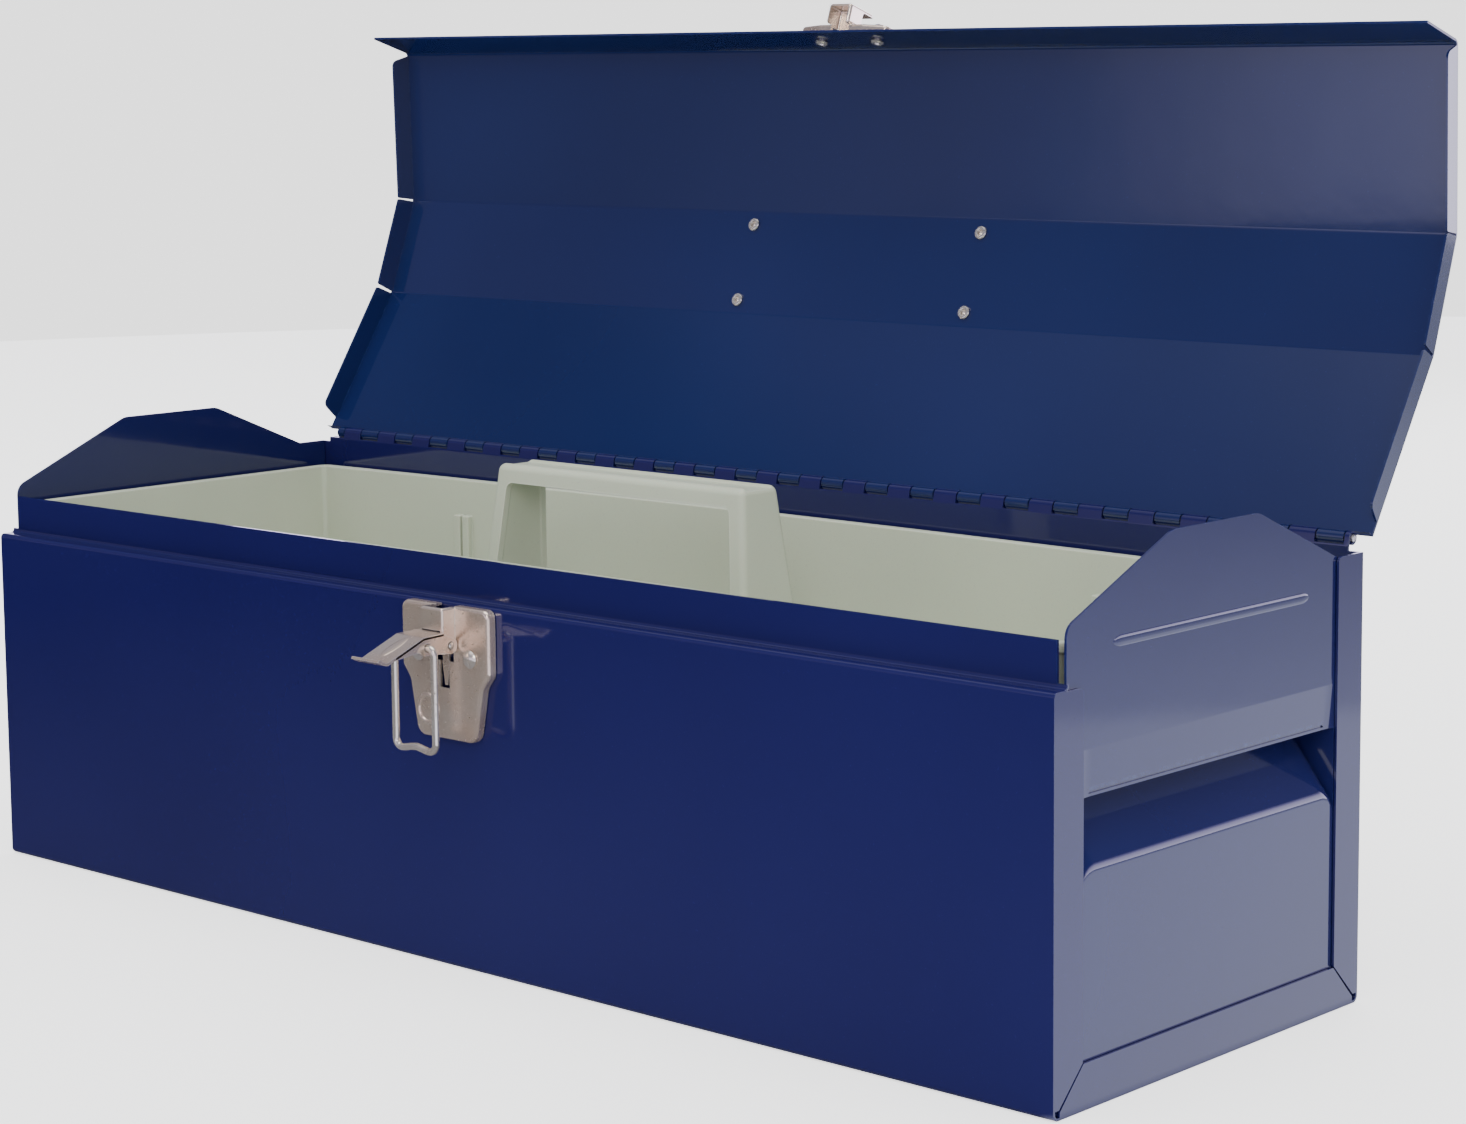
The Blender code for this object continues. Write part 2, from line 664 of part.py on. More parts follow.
def make_handle_rivet(name, x, y, hinge):
    """Tubular rivet: domed head outside, rolled tail inside the lid."""
    head = BRACKET_SHEET + 2 * GAP
    tail = -SHEET - GAP
    profile = [(0, head + 1.7 * MM), (1.6 * MM, head + 1.5 * MM), (3.2 * MM, head + 0.6 * MM),
               (3.3 * MM, head), (1.6 * MM, head), (1.6 * MM, tail), (2.4 * MM, tail),
               (2.4 * MM, tail - 0.9 * MM), (1.2 * MM, tail - 0.9 * MM), (1.2 * MM, -0.2 * MM),
               (0, -0.2 * MM)]
    return add(name, turned(profile, (x, y, LID_TOP), (0, 0, 1)), nickel(name + "_plate"), hinge)


def make_handle_bail(bail_pivot):
    """Bent steel bar whose thin ends turn in the brackets."""
    stub_end = BRACKET_HALF_SPACING - 5 * MM
    shoulder = BRACKET_HALF_SPACING + BRACKET_HALF_WIDTH + 0.4 * MM
    span, height = BAIL_HALF_SPAN, BAIL_HEIGHT
    lower = arc((span - 6.5 * MM, 6.5 * MM), 6.5 * MM, -math.pi / 2, 0, 4)
    upper = arc((span - 15 * MM, height - 15 * MM), 15 * MM, 0, math.pi / 2, 5)
    half = [(stub_end, 0), (shoulder, 0), (shoulder + 0.6 * MM, 0.1 * MM)] + lower[1:] + upper
    radii = [BAIL_STUB_RADIUS] * 2 + [BAIL_RADIUS] * (len(half) - 2)
    outline = [(-u, v) for u, v in half] + [(u, v) for u, v in reversed(half)]
    y, z = HANDLE_PIVOT_Y, HANDLE_PIVOT_Z
    path = [(HANDLE_X + u, y + v, z) for u, v in outline]
    mesh = tube(path, radii + radii[::-1], 3)
    return add("handle_bail", mesh, nickel("bail_plate"), bail_pivot)


# ---------------------------------------------------------------- strike

def strike_outline(inset):
    """Plate with a shallow point below, drawn in by an inset."""
    half, low, high = STRIKE_HALF_WIDTH - inset, STRIKE_BOTTOM + inset, STRIKE_TOP - inset
    right = [(10 * MM, low), (half, low + 2 * MM), (half, high)]
    return ([(LATCH_X + u, v) for u, v in right]
            + [(LATCH_X - u, v) for u, v in reversed(right)])


def make_strike(hinge):
    back = LID_FRONT - GAP
    front = back - STRIKE_STANDOFF
    outline = fillet(strike_outline(0), 2 * MM, 2, closed=True)
    strike = add("latch_strike", slab(outline, -back, -front, IN_XZ), nickel("strike_plate"), hinge)
    half, tip = STRIKE_HOOK_HALF_WIDTH, front - STRIKE_REACH
    skin = STRIKE_SHEET
    box = block((LATCH_X - half, tip, STRIKE_HOOK_BOTTOM),
                (LATCH_X + half, front + skin / 2, STRIKE_SHELF + STRIKE_LIP))
    join(strike, box, "strike_hook", hinge)
    pan = fillet(strike_outline(skin), MM, 2, closed=True)
    cut(strike, slab(pan, -back - MM, -front - skin, IN_XZ), "strike_pan", hinge)
    hollow = block((LATCH_X - half + skin, tip + skin, STRIKE_HOOK_BOTTOM - MM),
                   (LATCH_X + half - skin, back + MM, STRIKE_SHELF - skin))
    cut(strike, hollow, "strike_hollow", hinge)
    seat = block((LATCH_X - half - MM, tip + 1.4 * MM, STRIKE_SHELF),
                 (LATCH_X + half + MM, front - 0.8 * MM, STRIKE_SHELF + 2 * STRIKE_LIP))
    cut(strike, seat, "strike_seat", hinge)
    holes = []
    for side in (-1, 1):
        x = LATCH_X + side * STRIKE_RIVET_OFFSET
        holes.append(rod((x, back + MM, STRIKE_RIVET_Z), (x, front - MM, STRIKE_RIVET_Z), 1.9 * MM, 12))
    cut(strike, joined(holes), "strike_holes", hinge)
    return strike


def make_flange_rivet(name, x, face_y, z, inner_y, parent=None):
    """Rivet through a front sheet: domed head in front, flat tail behind."""
    length = inner_y - face_y
    profile = [(0, 1.6 * MM), (1.5 * MM, 1.4 * MM), (2.9 * MM, 0.6 * MM), (3.0 * MM, 0),
               (1.6 * MM, 0), (1.6 * MM, -length), (2.5 * MM, -length),
               (2.3 * MM, -length - MM), (0, -length - MM)]
    return add(name, turned(profile, (x, face_y, z), (0, -1, 0)), nickel(name + "_plate"), parent)


# ---------------------------------------------------------------- draw latch

def latch_outline(grow=0.0):
    """Half-shouldered plate: straight sides above, tapering to the bottom."""
    half = LATCH_HALF_WIDTH + grow
    side = [(half, LATCH_TOP + grow), (half, 98.5 * MM), (half - 3.2 * MM, 94.5 * MM),
            (half - 6.8 * MM, LATCH_BOTTOM - grow)]
    return ([(LATCH_X + u, v) for u, v in side]
            + [(LATCH_X - u, v) for u, v in reversed(side)])


def latch_rib_ring():
    """A raised ring coined in the lower left of the plate."""
    centre = (LATCH_X - 8.1 * MM, 85.4 * MM)
    outer = arc(centre, 5.2 * MM, 0, 2 * math.pi, 16)[:-1]
    inner = arc(centre, 3.9 * MM, 0, 2 * math.pi, 16)[:-1]
    return outer, inner


def make_latch_base():
    panel = BODY_HALF_WIDTH + GAP
    face = panel + LATCH_STANDOFF
    rounded = fillet(latch_outline(), 2.5 * MM, 2, closed=True)
    base = add("latch_base_plate", slab(rounded, panel, face, IN_XZ), nickel("latch_plate"))
    cheek_low = LATCH_PIVOT_Z - 3.0 * MM
    hump = block((LATCH_X - HUMP_HALF_WIDTH, HUMP_FRONT, cheek_low),
                 (LATCH_X + HUMP_HALF_WIDTH, -face + LATCH_SHEET / 2, LATCH_TOP))
    join(base, hump, "latch_hump")
    inner = fillet(latch_outline(-LATCH_SHEET), 1.7 * MM, 2, closed=True)
    cut(base, slab(inner, panel - MM, face - LATCH_SHEET, IN_XZ), "latch_pan")
    slim = HUMP_HALF_WIDTH - LATCH_SHEET
    hollow = [block((LATCH_X - slim, HUMP_FRONT + LATCH_SHEET, cheek_low - 3 * MM),
                    (LATCH_X + slim, -panel + MM, LATCH_TOP + MM)),
              block((LATCH_X - slim, HUMP_FRONT - MM, cheek_low - MM),
                    (LATCH_X + slim, HUMP_FRONT + 2 * MM, HUMP_BOTTOM)),
              block((LATCH_X - 2.2 * MM, -face - MM, 93 * MM), (LATCH_X + 2.2 * MM, -panel + MM, 104 * MM))]
    cut(base, joined(hollow[:1]), "latch_hollow")
    cut(base, joined(hollow[1:2]), "latch_mouth")
    cut(base, joined(hollow[2:]), "latch_slot")
    x_far = HUMP_HALF_WIDTH + MM
    holes = [rod((LATCH_X - x_far, LATCH_PIVOT_Y, LATCH_PIVOT_Z),
                 (LATCH_X + x_far, LATCH_PIVOT_Y, LATCH_PIVOT_Z), LATCH_PIN + GAP, 12)]
    for side in (-1, 1):
        x = LATCH_X + side * LATCH_RIVET_OFFSET
        holes.append(rod((x, -face - MM, LATCH_RIVET_Z), (x, -panel + 1.5 * MM, LATCH_RIVET_Z), 1.9 * MM, 12))
    cut(base, joined(holes), "latch_holes")
    outer, bore = latch_rib_ring()
    ring = add("ring_rim", slab(outer, face - LATCH_SHEET / 2, face + 0.45 * MM, IN_XZ))
    cut(ring, slab(bore, face - MM, face + MM, IN_XZ), "ring_bore")
    modifier = base.modifiers.new("ring", "BOOLEAN")
    modifier.operation = "UNION"
    modifier.object = ring
    return base


def lever_profile():
    """Outer face of the lever's strap from its root to the finger lip."""
    start = (HUMP_FRONT - GAP, LEVER_TOP)
    return fillet([(LEVER_TIP_Y - 3.2 * MM, LEVER_TIP_Z + 1.5 * MM), (LEVER_TIP_Y, LEVER_TIP_Z),
                   (LEVER_KINK_Y, LEVER_TOP - 0.3 * MM), start], 1.5 * MM)


def make_latch_lever(parent):
    mesh = folded_sheet(lever_profile(), LEVER_HALF_WIDTH)
    mesh.transform(Matrix.Translation((LATCH_X, 0, 0)))
    lever = add("latch_lever", mesh, nickel("lever_plate"), parent)
    solidify(lever, LEVER_SHEET)
    drop = 2.4 * MM
    cheek = [(HUMP_FRONT - GAP, LEVER_TOP - 0.4 * MM), (LEVER_KINK_Y, LEVER_TOP - 0.7 * MM),
             (LEVER_KINK_Y - 6.5 * MM, LEVER_TOP - 3.4 * MM), (LOOP_PIVOT_Y - 2.0 * MM, LOOP_PIVOT_Z - drop),
             (LOOP_PIVOT_Y + 2.2 * MM, LOOP_PIVOT_Z - drop)]
    cheek += arc((LATCH_PIVOT_Y, LATCH_PIVOT_Z), 2.7 * MM, -math.pi * 0.6, math.pi * 0.25, 5)
    outer, inner = LEVER_HALF_WIDTH, LEVER_HALF_WIDTH - LEVER_SHEET
    for side in (-1, 1):
        low, high = sorted((LATCH_X + side * inner, LATCH_X + side * outer))
        join(lever, slab(cheek, low, high), "lever_cheek_" + ("left" if side < 0 else "right"), parent)
    reach = LEVER_HALF_WIDTH + MM
    holes = [rod((LATCH_X - reach, y, z), (LATCH_X + reach, y, z), radius + GAP, 12)
             for y, z, radius in ((LATCH_PIVOT_Y, LATCH_PIVOT_Z, LATCH_PIN),
                                  (LOOP_PIVOT_Y, LOOP_PIVOT_Z, LOOP_WIRE))]
    cut(lever, joined(holes), "lever_holes", parent)
    return lever


def make_latch_loop(parent):
    """Bent wire: two ends turned into the lever, two legs and a dipped bar."""
    half, bottom = LOOP_HALF_WIDTH, -LOOP_LENGTH
    inner = LEVER_HALF_WIDTH - LEVER_SHEET - 1.1 * MM
    shoulder = arc((half - 1.8 * MM, -1.8 * MM), 1.8 * MM, math.pi / 2, 0, 3)
    foot = arc((half - 2.6 * MM, bottom + 2.6 * MM), 2.6 * MM, 0, -math.pi / 2, 3)
    outline = [Vector((inner, 0))] + shoulder + foot
    dip = [Vector((u, bottom + 0.9 * MM)) for u in (2.5 * MM, -2.5 * MM)]
    left = [Vector((-p.x, p.y)) for p in reversed(outline)]
    path = [(LATCH_X + u, LOOP_PIVOT_Y, LOOP_PIVOT_Z + v) for u, v in outline + dip + left]
    return add("latch_loop", tube(path, [LOOP_WIRE] * len(path)), nickel("loop_plate"), parent)


# ---------------------------------------------------------------- tray

def make_tray():
    lip = TRAY_RIM_LIP
    low = (-TRAY_HALF_LENGTH, TRAY_FRONT, TRAY_FLOOR)
    high = (TRAY_HALF_LENGTH, TRAY_BACK, TRAY_RIM - 0.5 * MM)
    tray = add("tray", block(low, high), finish("tray_plastic", (0.60, 0.61, 0.53), 0.0, 0.45))
    bevel(tray, 1.5 * MM, 1)
    rim = block((low[0] - lip, low[1] - lip, TRAY_RIM - TRAY_RIM_DEPTH),
                (high[0] + lip, high[1] + lip, TRAY_RIM))
    join(tray, rim, "tray_rim")
    wall = TRAY_WALL
    cavity = block((low[0] + wall, low[1] + wall, TRAY_FLOOR + wall),
                   (high[0] - wall, high[1] - wall, TRAY_RIM + MM))
    cut(tray, cavity, "tray_cavity")
    outer_low = (GRIP_X - GRIP_HALF_LENGTH, GRIP_FRONT, TRAY_FLOOR + MM)
    outer_high = (GRIP_X + GRIP_HALF_LENGTH, GRIP_BACK, GRIP_TOP)
    grip = join(tray, drafted_block(outer_low, outer_high, GRIP_DRAFT), "tray_grip")
    bevel(grip, 2.0 * MM, 2)
    band = GRIP_SIDE_BAND
    hollow = drafted_block((outer_low[0] + band, GRIP_FRONT + wall, TRAY_FLOOR - MM),
                           (outer_high[0] - band, GRIP_BACK - wall, GRIP_TOP - wall), GRIP_DRAFT)
    cut(tray, hollow, "grip_hollow")
    opening = drafted_block((outer_low[0] + GRIP_SIDE_BAND, GRIP_FRONT - 12 * MM, GRIP_SILL),
                            (outer_high[0] - GRIP_SIDE_BAND, GRIP_BACK + 12 * MM, GRIP_TOP - GRIP_TOP_BAND),
                            GRIP_DRAFT)
    cut(tray, opening, "grip_opening")
    ribs = []
    for side in (-1, 1):
        for offset in (-1, 1):
            near = side * SLOT_X + offset * SLOT_GAP / 2
            x_low, x_high = sorted((near, near + offset * SLOT_RIB))
            for wall_y, inward in ((low[1] + wall, 1), (high[1] - wall, -1)):
                y_low, y_high = sorted((wall_y - inward * MM, wall_y + inward * SLOT_DEPTH))
                ribs.append(block((x_low, y_low, TRAY_FLOOR + MM), (x_high, y_high, SLOT_TOP)))
    join(tray, joined(ribs), "divider_ribs")
    return tray


# ---------------------------------------------------------------- assembly

def main():
    make_body_wrap()
    make_end_plate("end_plate_left", -1)
    make_end_plate("end_plate_right", 1)
    wire = rod((HINGE_LEFT + 0.4 * MM, HINGE_Y, HINGE_Z), (HINGE_RIGHT - 0.4 * MM, HINGE_Y, HINGE_Z),
               HINGE_WIRE, 10)
    add("hinge_pin", wire, nickel("hinge_wire"))
    hinge = pivot("lid_hinge_axis", HINGE_Y, HINGE_Z, turn=-OPEN_ANGLE)
    make_lid_shell(hinge)
    make_handle_bracket("handle_bracket_left", -1, hinge)
    make_handle_bracket("handle_bracket_right", 1, hinge)
    for number, (x, y) in enumerate(handle_rivet_places(), 1):
        make_handle_rivet(f"handle_rivet_{number}", x, y, hinge)
    hanging = OPEN_ANGLE - math.pi / 2
    bail_pivot = pivot("handle_axis", HANDLE_PIVOT_Y, HANDLE_PIVOT_Z, hinge, hanging, HANDLE_X)
    make_handle_bail(bail_pivot)
    make_strike(hinge)
    for word, side in (("left", -1), ("right", 1)):
        make_flange_rivet("strike_rivet_" + word, LATCH_X + side * STRIKE_RIVET_OFFSET,
                          LID_FRONT - STRIKE_STANDOFF - 2 * GAP, STRIKE_RIVET_Z,
                          LID_FRONT + SHEET + 2 * GAP, hinge)
        make_flange_rivet("latch_rivet_" + word, LATCH_X + side * LATCH_RIVET_OFFSET,
                          -BODY_HALF_WIDTH - LATCH_STANDOFF - 2 * GAP, LATCH_RIVET_Z,
                          -BODY_HALF_WIDTH + SHEET + GAP)
    make_latch_base()
    pin_half = LEVER_HALF_WIDTH + 0.6 * MM
    pin = rod((LATCH_X - pin_half, LATCH_PIVOT_Y, LATCH_PIVOT_Z),
              (LATCH_X + pin_half, LATCH_PIVOT_Y, LATCH_PIVOT_Z), LATCH_PIN, 12)
    add("latch_pivot_pin", pin, nickel("pin_plate"))
    lever_pivot = pivot("lever_axis", LATCH_PIVOT_Y, LATCH_PIVOT_Z, x=LATCH_X)
    make_latch_lever(lever_pivot)
    loop_pivot = pivot("loop_axis", LOOP_PIVOT_Y, LOOP_PIVOT_Z, lever_pivot, x=LATCH_X)
    make_latch_loop(loop_pivot)
    make_tray()


main()
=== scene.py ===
import math

import bmesh
import bpy
from mathutils import Matrix, Vector


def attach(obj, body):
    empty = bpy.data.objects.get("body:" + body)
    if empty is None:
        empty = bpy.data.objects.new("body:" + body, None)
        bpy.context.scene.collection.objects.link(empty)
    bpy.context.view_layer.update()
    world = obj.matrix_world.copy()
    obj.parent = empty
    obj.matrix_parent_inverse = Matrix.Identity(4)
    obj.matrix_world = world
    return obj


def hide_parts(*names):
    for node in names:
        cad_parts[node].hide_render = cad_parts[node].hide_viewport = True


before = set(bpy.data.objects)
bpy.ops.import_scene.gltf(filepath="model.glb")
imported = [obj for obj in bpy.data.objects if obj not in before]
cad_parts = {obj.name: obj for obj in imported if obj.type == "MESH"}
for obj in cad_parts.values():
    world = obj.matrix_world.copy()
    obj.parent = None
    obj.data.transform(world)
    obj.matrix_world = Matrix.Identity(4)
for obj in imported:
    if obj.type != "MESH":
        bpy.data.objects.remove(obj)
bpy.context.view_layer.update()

MM = 0.001
# Places shared with the CAD model, in metres in the row frame.
HINGE = Vector((0, 80.0 * MM, 144.4 * MM))
OPEN = math.radians(109.35)
LATCH_X = 2.3 * MM
HANDLE_X = 1.9 * MM
SHEET = 0.8 * MM
GAP = 0.3 * MM
HALF = 242.0 * MM
WIDE = 78.0 * MM
FLANGE = 13.6 * MM
LEDGE = 120.3 * MM
BACK_TOP = 140.8 * MM
RIVET_BORE = 1.9 * MM
LATCH_RIVET_X, LATCH_RIVET_Z = 12 * MM, 103.6 * MM
STRIKE_RIVET_X, STRIKE_RIVET_Z = 13 * MM, 130.6 * MM

TO_OPEN = Matrix.Translation(HINGE) @ Matrix.Rotation(-OPEN, 4, "X") @ Matrix.Translation(-HINGE)
IN_YZ = Matrix(((0, 0, 1, 0), (1, 0, 0, 0), (0, 1, 0, 0), (0, 0, 0, 1)))
IN_XZ = Matrix(((1, 0, 0, 0), (0, 0, -1, 0), (0, 1, 0, 0), (0, 0, 0, 1)))


# ---- materials

class Nodes:
    """Small helper that adds and links shader nodes of a material or a world."""

    def __init__(self, owner, coordinates="Object"):
        self.owner = owner
        owner.use_nodes = True
        self.tree = owner.node_tree
        self.shader = self.tree.nodes.get("Principled BSDF")
        self.place = self.add("ShaderNodeTexCoord").outputs[coordinates]

    def add(self, kind, **values):
        node = self.tree.nodes.new(kind)
        for key, value in values.items():
            if hasattr(node, key):
                setattr(node, key, value)
            else:
                node.inputs[key.replace("_", " ").title()].default_value = value
        return node

    def link(self, output, target):
        self.tree.links.new(output, target)

    def stretched(self, scale):
        mapping = self.add("ShaderNodeMapping")
        mapping.inputs["Scale"].default_value = scale
        self.link(self.place, mapping.inputs["Vector"])
        return mapping.outputs["Vector"]

    def noise(self, scale, detail=3.0, roughness=0.5, stretch=None):
        node = self.add("ShaderNodeTexNoise", scale=scale, detail=detail, roughness=roughness)
        self.link(self.stretched(stretch) if stretch else self.place, node.inputs["Vector"])
        return node.outputs["Fac"]

    def ramp(self, value, low, high, start, stop):
        """Maps value from start..stop onto low..high, clamped."""
        node = self.add("ShaderNodeMapRange")
        limits = {"From Min": start, "From Max": stop, "To Min": low, "To Max": high}
        for key, limit in limits.items():
            node.inputs[key].default_value = limit
        self.link(value, node.inputs["Value"])
        return node.outputs["Result"]

    def mix(self, factor, first, second):
        node = self.add("ShaderNodeMix", data_type="RGBA")
        for socket, value in ((node.inputs[6], first), (node.inputs[7], second)):
            if isinstance(value, tuple):
                socket.default_value = (*value, 1.0)
            else:
                self.link(value, socket)
        self.link(factor, node.inputs[0])
        return node.outputs[2]

    def math(self, operation, first, second):
        node = self.add("ShaderNodeMath", operation=operation)
        for socket, value in zip(node.inputs, (first, second)):
            if isinstance(value, (int, float)):
                socket.default_value = value
            else:
                self.link(value, socket)
        return node.outputs[0]

    def times(self, first, second):
        return self.math("MULTIPLY", first, second)

    def plus(self, first, second):
        return self.math("ADD", first, second)

    def edges(self, radius, low=0.02, high=0.12):
        """One where the surface turns sharply within a radius."""
        soft = self.add("ShaderNodeBevel", samples=4)
        soft.inputs["Radius"].default_value = radius
        geometry = self.add("ShaderNodeNewGeometry")
        dot = self.add("ShaderNodeVectorMath", operation="DOT_PRODUCT")
        self.link(soft.outputs["Normal"], dot.inputs[0])
        self.link(geometry.outputs["Normal"], dot.inputs[1])
        turned_away = self.math("SUBTRACT", 1.0, dot.outputs["Value"])
        return self.ramp(turned_away, 0.0, 1.0, low, high)

    def bump(self, height, distance, strength, before=None):
        node = self.add("ShaderNodeBump")
        node.inputs["Strength"].default_value = strength
        node.inputs["Distance"].default_value = distance
        self.link(height, node.inputs["Height"])
        if before is not None:
            self.link(before, node.inputs["Normal"])
        return node.outputs["Normal"]

    def surface(self, colour=None, roughness=None, normal=None, metallic=0.0, **fixed):
        inputs = self.shader.inputs
        inputs["Metallic"].default_value = metallic
        for key, output in (("Base Color", colour), ("Roughness", roughness), ("Normal", normal)):
            if output is not None:
                self.link(output, inputs[key])
        for key, value in fixed.items():
            inputs[key.replace("_", " ").title().replace("Ior", "IOR")].default_value = value
        return self.owner

    def ray_switch(self, kind, plain, other):
        """Shows one shader to one kind of ray and the usual one to all others."""
        mix = self.add("ShaderNodeMixShader")
        sources = (self.add("ShaderNodeLightPath").outputs[kind], plain, other)
        for source, target in zip(sources, mix.inputs):
            self.link(source, target)
        return mix.outputs[0]


def enamel(name, deep, pale):
    """Glossy navy stoving enamel: drifting tone, orange peel, rubbed edges, hairline scuffs."""
    n = Nodes(bpy.data.materials.new(name))
    drift = n.ramp(n.noise(5.0, 2.0), 0.0, 1.0, 0.30, 0.70)
    tone = n.mix(drift, deep, pale)
    speck = n.ramp(n.noise(1300.0, 1.0), 0.0, 0.30, 0.72, 0.80)
    tone = n.mix(speck, tone, tuple(min(1.0, c * 2.0 + 0.004) for c in pale))
    broken = n.ramp(n.noise(300.0, 4.0, 0.7), 0.0, 1.0, 0.46, 0.62)
    rubbed = n.times(n.edges(0.5 * MM), broken)
    tone = n.mix(n.times(rubbed, 0.35), tone, (0.05, 0.08, 0.20))
    scuff_run = n.ramp(n.noise(34.0, 5.0, 0.7, (9.0, 9.0, 120.0)), 0.0, 1.0, 0.72, 0.78)
    scuff_spot = n.ramp(n.noise(11.0, 2.0), 0.0, 1.0, 0.60, 0.70)
    scuff = n.times(scuff_run, scuff_spot)
    tone = n.mix(n.times(scuff, 0.12), tone, (0.10, 0.13, 0.26))
    gloss = n.ramp(n.noise(16.0, 3.0), 0.06, 0.11, 0.3, 0.7)
    gloss = n.plus(gloss, n.times(n.plus(scuff, rubbed), 0.15))
    peel = n.bump(n.noise(300.0, 1.0, 0.4), 0.00002, 0.35)
    waves = n.bump(n.noise(38.0, 1.0), 0.0006, 0.10, peel)
    return n.surface(tone, gloss, waves, specular_ior_level=0.5, coat_weight=0.4,
                     coat_roughness=0.03)


def plated(name, warm, cool, drawn=(1.0, 1.0, 1.0), rough=(0.13, 0.27)):
    """Nickel plate: soft polishing lines, warm clouds of tarnish, dull spots, and painted
    highlights along the edges.
    """
    n = Nodes(bpy.data.materials.new(name))
    cloud = n.ramp(n.noise(55.0, 3.0), 0.0, 1.0, 0.32, 0.68)
    tone = n.mix(cloud, cool, warm)
    spots = n.ramp(n.noise(750.0, 3.0, 0.6), 0.0, 0.6, 0.63, 0.72)
    tone = n.mix(spots, tone, (0.30, 0.24, 0.18))
    # Painted highlight: sharp edges are mixed towards near-white, standing in for edge reflections.
    tone = n.mix(n.times(n.edges(0.5 * MM), 0.85), tone, (0.96, 0.94, 0.90))
    lines = n.noise(420.0, 4.0, 0.6, drawn)
    uneven = n.plus(n.times(lines, 0.6), n.times(cloud, 0.4))
    gloss = n.ramp(uneven, *rough, 0.25, 0.75)
    gloss = n.plus(gloss, n.times(spots, 0.3))
    fine = n.bump(lines, 0.00003, 0.4)
    dents = n.bump(n.noise(90.0, 1.0), 0.0003, 0.12, fine)
    return n.surface(tone, gloss, dents, metallic=0.78)


def moulded(name, base, shade):
    """Pale moulded plastic: spark-eroded texture, cloudy tone, paler worn edges, light scuffs."""
    n = Nodes(bpy.data.materials.new(name))
    tone = n.mix(n.ramp(n.noise(12.0, 3.0), 0.0, 1.0, 0.3, 0.7), base, shade)
    fleck = n.ramp(n.noise(1400.0, 2.0), 0.0, 0.4, 0.62, 0.74)
    tone = n.mix(fleck, tone, (0.40, 0.41, 0.36))
    tone = n.mix(n.times(n.edges(0.9 * MM), 0.5), tone, (0.72, 0.73, 0.64))
    scuff = n.ramp(n.noise(60.0, 5.0, 0.7, (1.0, 14.0, 14.0)), 0.0, 0.5, 0.66, 0.74)
    tone = n.mix(n.times(scuff, 0.5), tone, (0.42, 0.43, 0.40))
    gloss = n.ramp(n.noise(40.0, 3.0), 0.36, 0.52, 0.3, 0.7)
    grain = n.bump(n.noise(2200.0, 3.0, 0.6), 0.00004, 0.5)
    sink = n.bump(n.noise(18.0, 1.0), 0.0008, 0.15, grain)
    return n.surface(tone, gloss, sink, subsurface_weight=0.04, subsurface_scale=0.004,
                     specular_ior_level=0.45)


FRONT_BLUE = enamel("enamel_body", (0.0075, 0.0072, 0.066), (0.0100, 0.0100, 0.082))
PLATE_BLUE = enamel("enamel_plates", (0.0080, 0.0095, 0.068), (0.0110, 0.0135, 0.086))
LID_BLUE = enamel("enamel_lid", (0.0062, 0.0120, 0.066), (0.0088, 0.0170, 0.086))
NICKEL = plated("nickel_plate", (0.74, 0.57, 0.46), (0.84, 0.72, 0.62), (1.0, 1.0, 9.0))
BRIGHT = plated("nickel_bright", (0.70, 0.62, 0.54), (0.76, 0.72, 0.68), rough=(0.10, 0.22))
WIRE = plated("drawn_steel", (0.42, 0.39, 0.36), (0.48, 0.47, 0.46), (9.0, 1.0, 1.0),
              (0.25, 0.42))
PLASTIC = moulded("tray_plastic", (0.52, 0.56, 0.44), (0.47, 0.51, 0.40))


# ---- shape helpers

def mm(*pairs):
    """Pairs given in millimetres, in metres."""
    return [(a * MM, b * MM) for a, b in pairs]


def raised(base, *pairs):
    """Radius and height pairs in millimetres, with the heights counted from a base."""
    return [(radius * MM, base + height * MM) for radius, height in pairs]


def fillet(points, radius, steps=5, closed=False):
    """Round the corners of a 2-D outline; an open one keeps its two ends."""
    rounded = []
    count = len(points)
    radii = radius if isinstance(radius, (list, tuple)) else [radius] * count
    for i, corner in enumerate(points):
        corner = Vector(corner)
        if radii[i] <= 0 or (not closed and i in (0, count - 1)):
            rounded.append(corner)
            continue
        before = Vector(points[i - 1]) - corner
        after = Vector(points[(i + 1) % count]) - corner
        half = before.angle(after) / 2
        reach = min(radii[i] / math.tan(half), before.length * 0.48, after.length * 0.48)
        bend = reach * math.tan(half)
        middle = (before.normalized() + after.normalized()).normalized()
        centre = corner + middle * (bend / math.sin(half))
        start = corner + before.normalized() * reach - centre
        turn = start.angle_signed(corner + after.normalized() * reach - centre)
        for k in range(steps + 1):
            rounded.append(centre + Matrix.Rotation(-turn * k / steps, 2) @ start)
    return rounded


def arc(centre, radius, start, stop, steps):
    points = []
    for k in range(steps + 1):
        angle = start + (stop - start) * k / steps
        points.append(Vector(centre) + Vector((math.cos(angle), math.sin(angle))) * radius)
    return points


def from_bmesh(work):
    bmesh.ops.remove_doubles(work, verts=work.verts, dist=0.002 * MM)
    bmesh.ops.recalc_face_normals(work, faces=work.faces)
    mesh = bpy.data.meshes.new("shape")
    work.to_mesh(mesh)
    work.free()
    return mesh


def slab(outline, low, high, plane=IN_YZ):
    """A flat outline made solid between two places along its thickness."""
    work = bmesh.new()
    rows = []
    for depth in (low, high):
        rows.append([work.verts.new((u, v, depth)) for u, v in outline])
    count = len(outline)
    work.faces.new(rows[0][::-1])
    work.faces.new(rows[1])
    for i in range(count):
        j = (i + 1) % count
        work.faces.new((rows[0][i], rows[0][j], rows[1][j], rows[1][i]))
    mesh = from_bmesh(work)
    mesh.transform(plane)
    return mesh


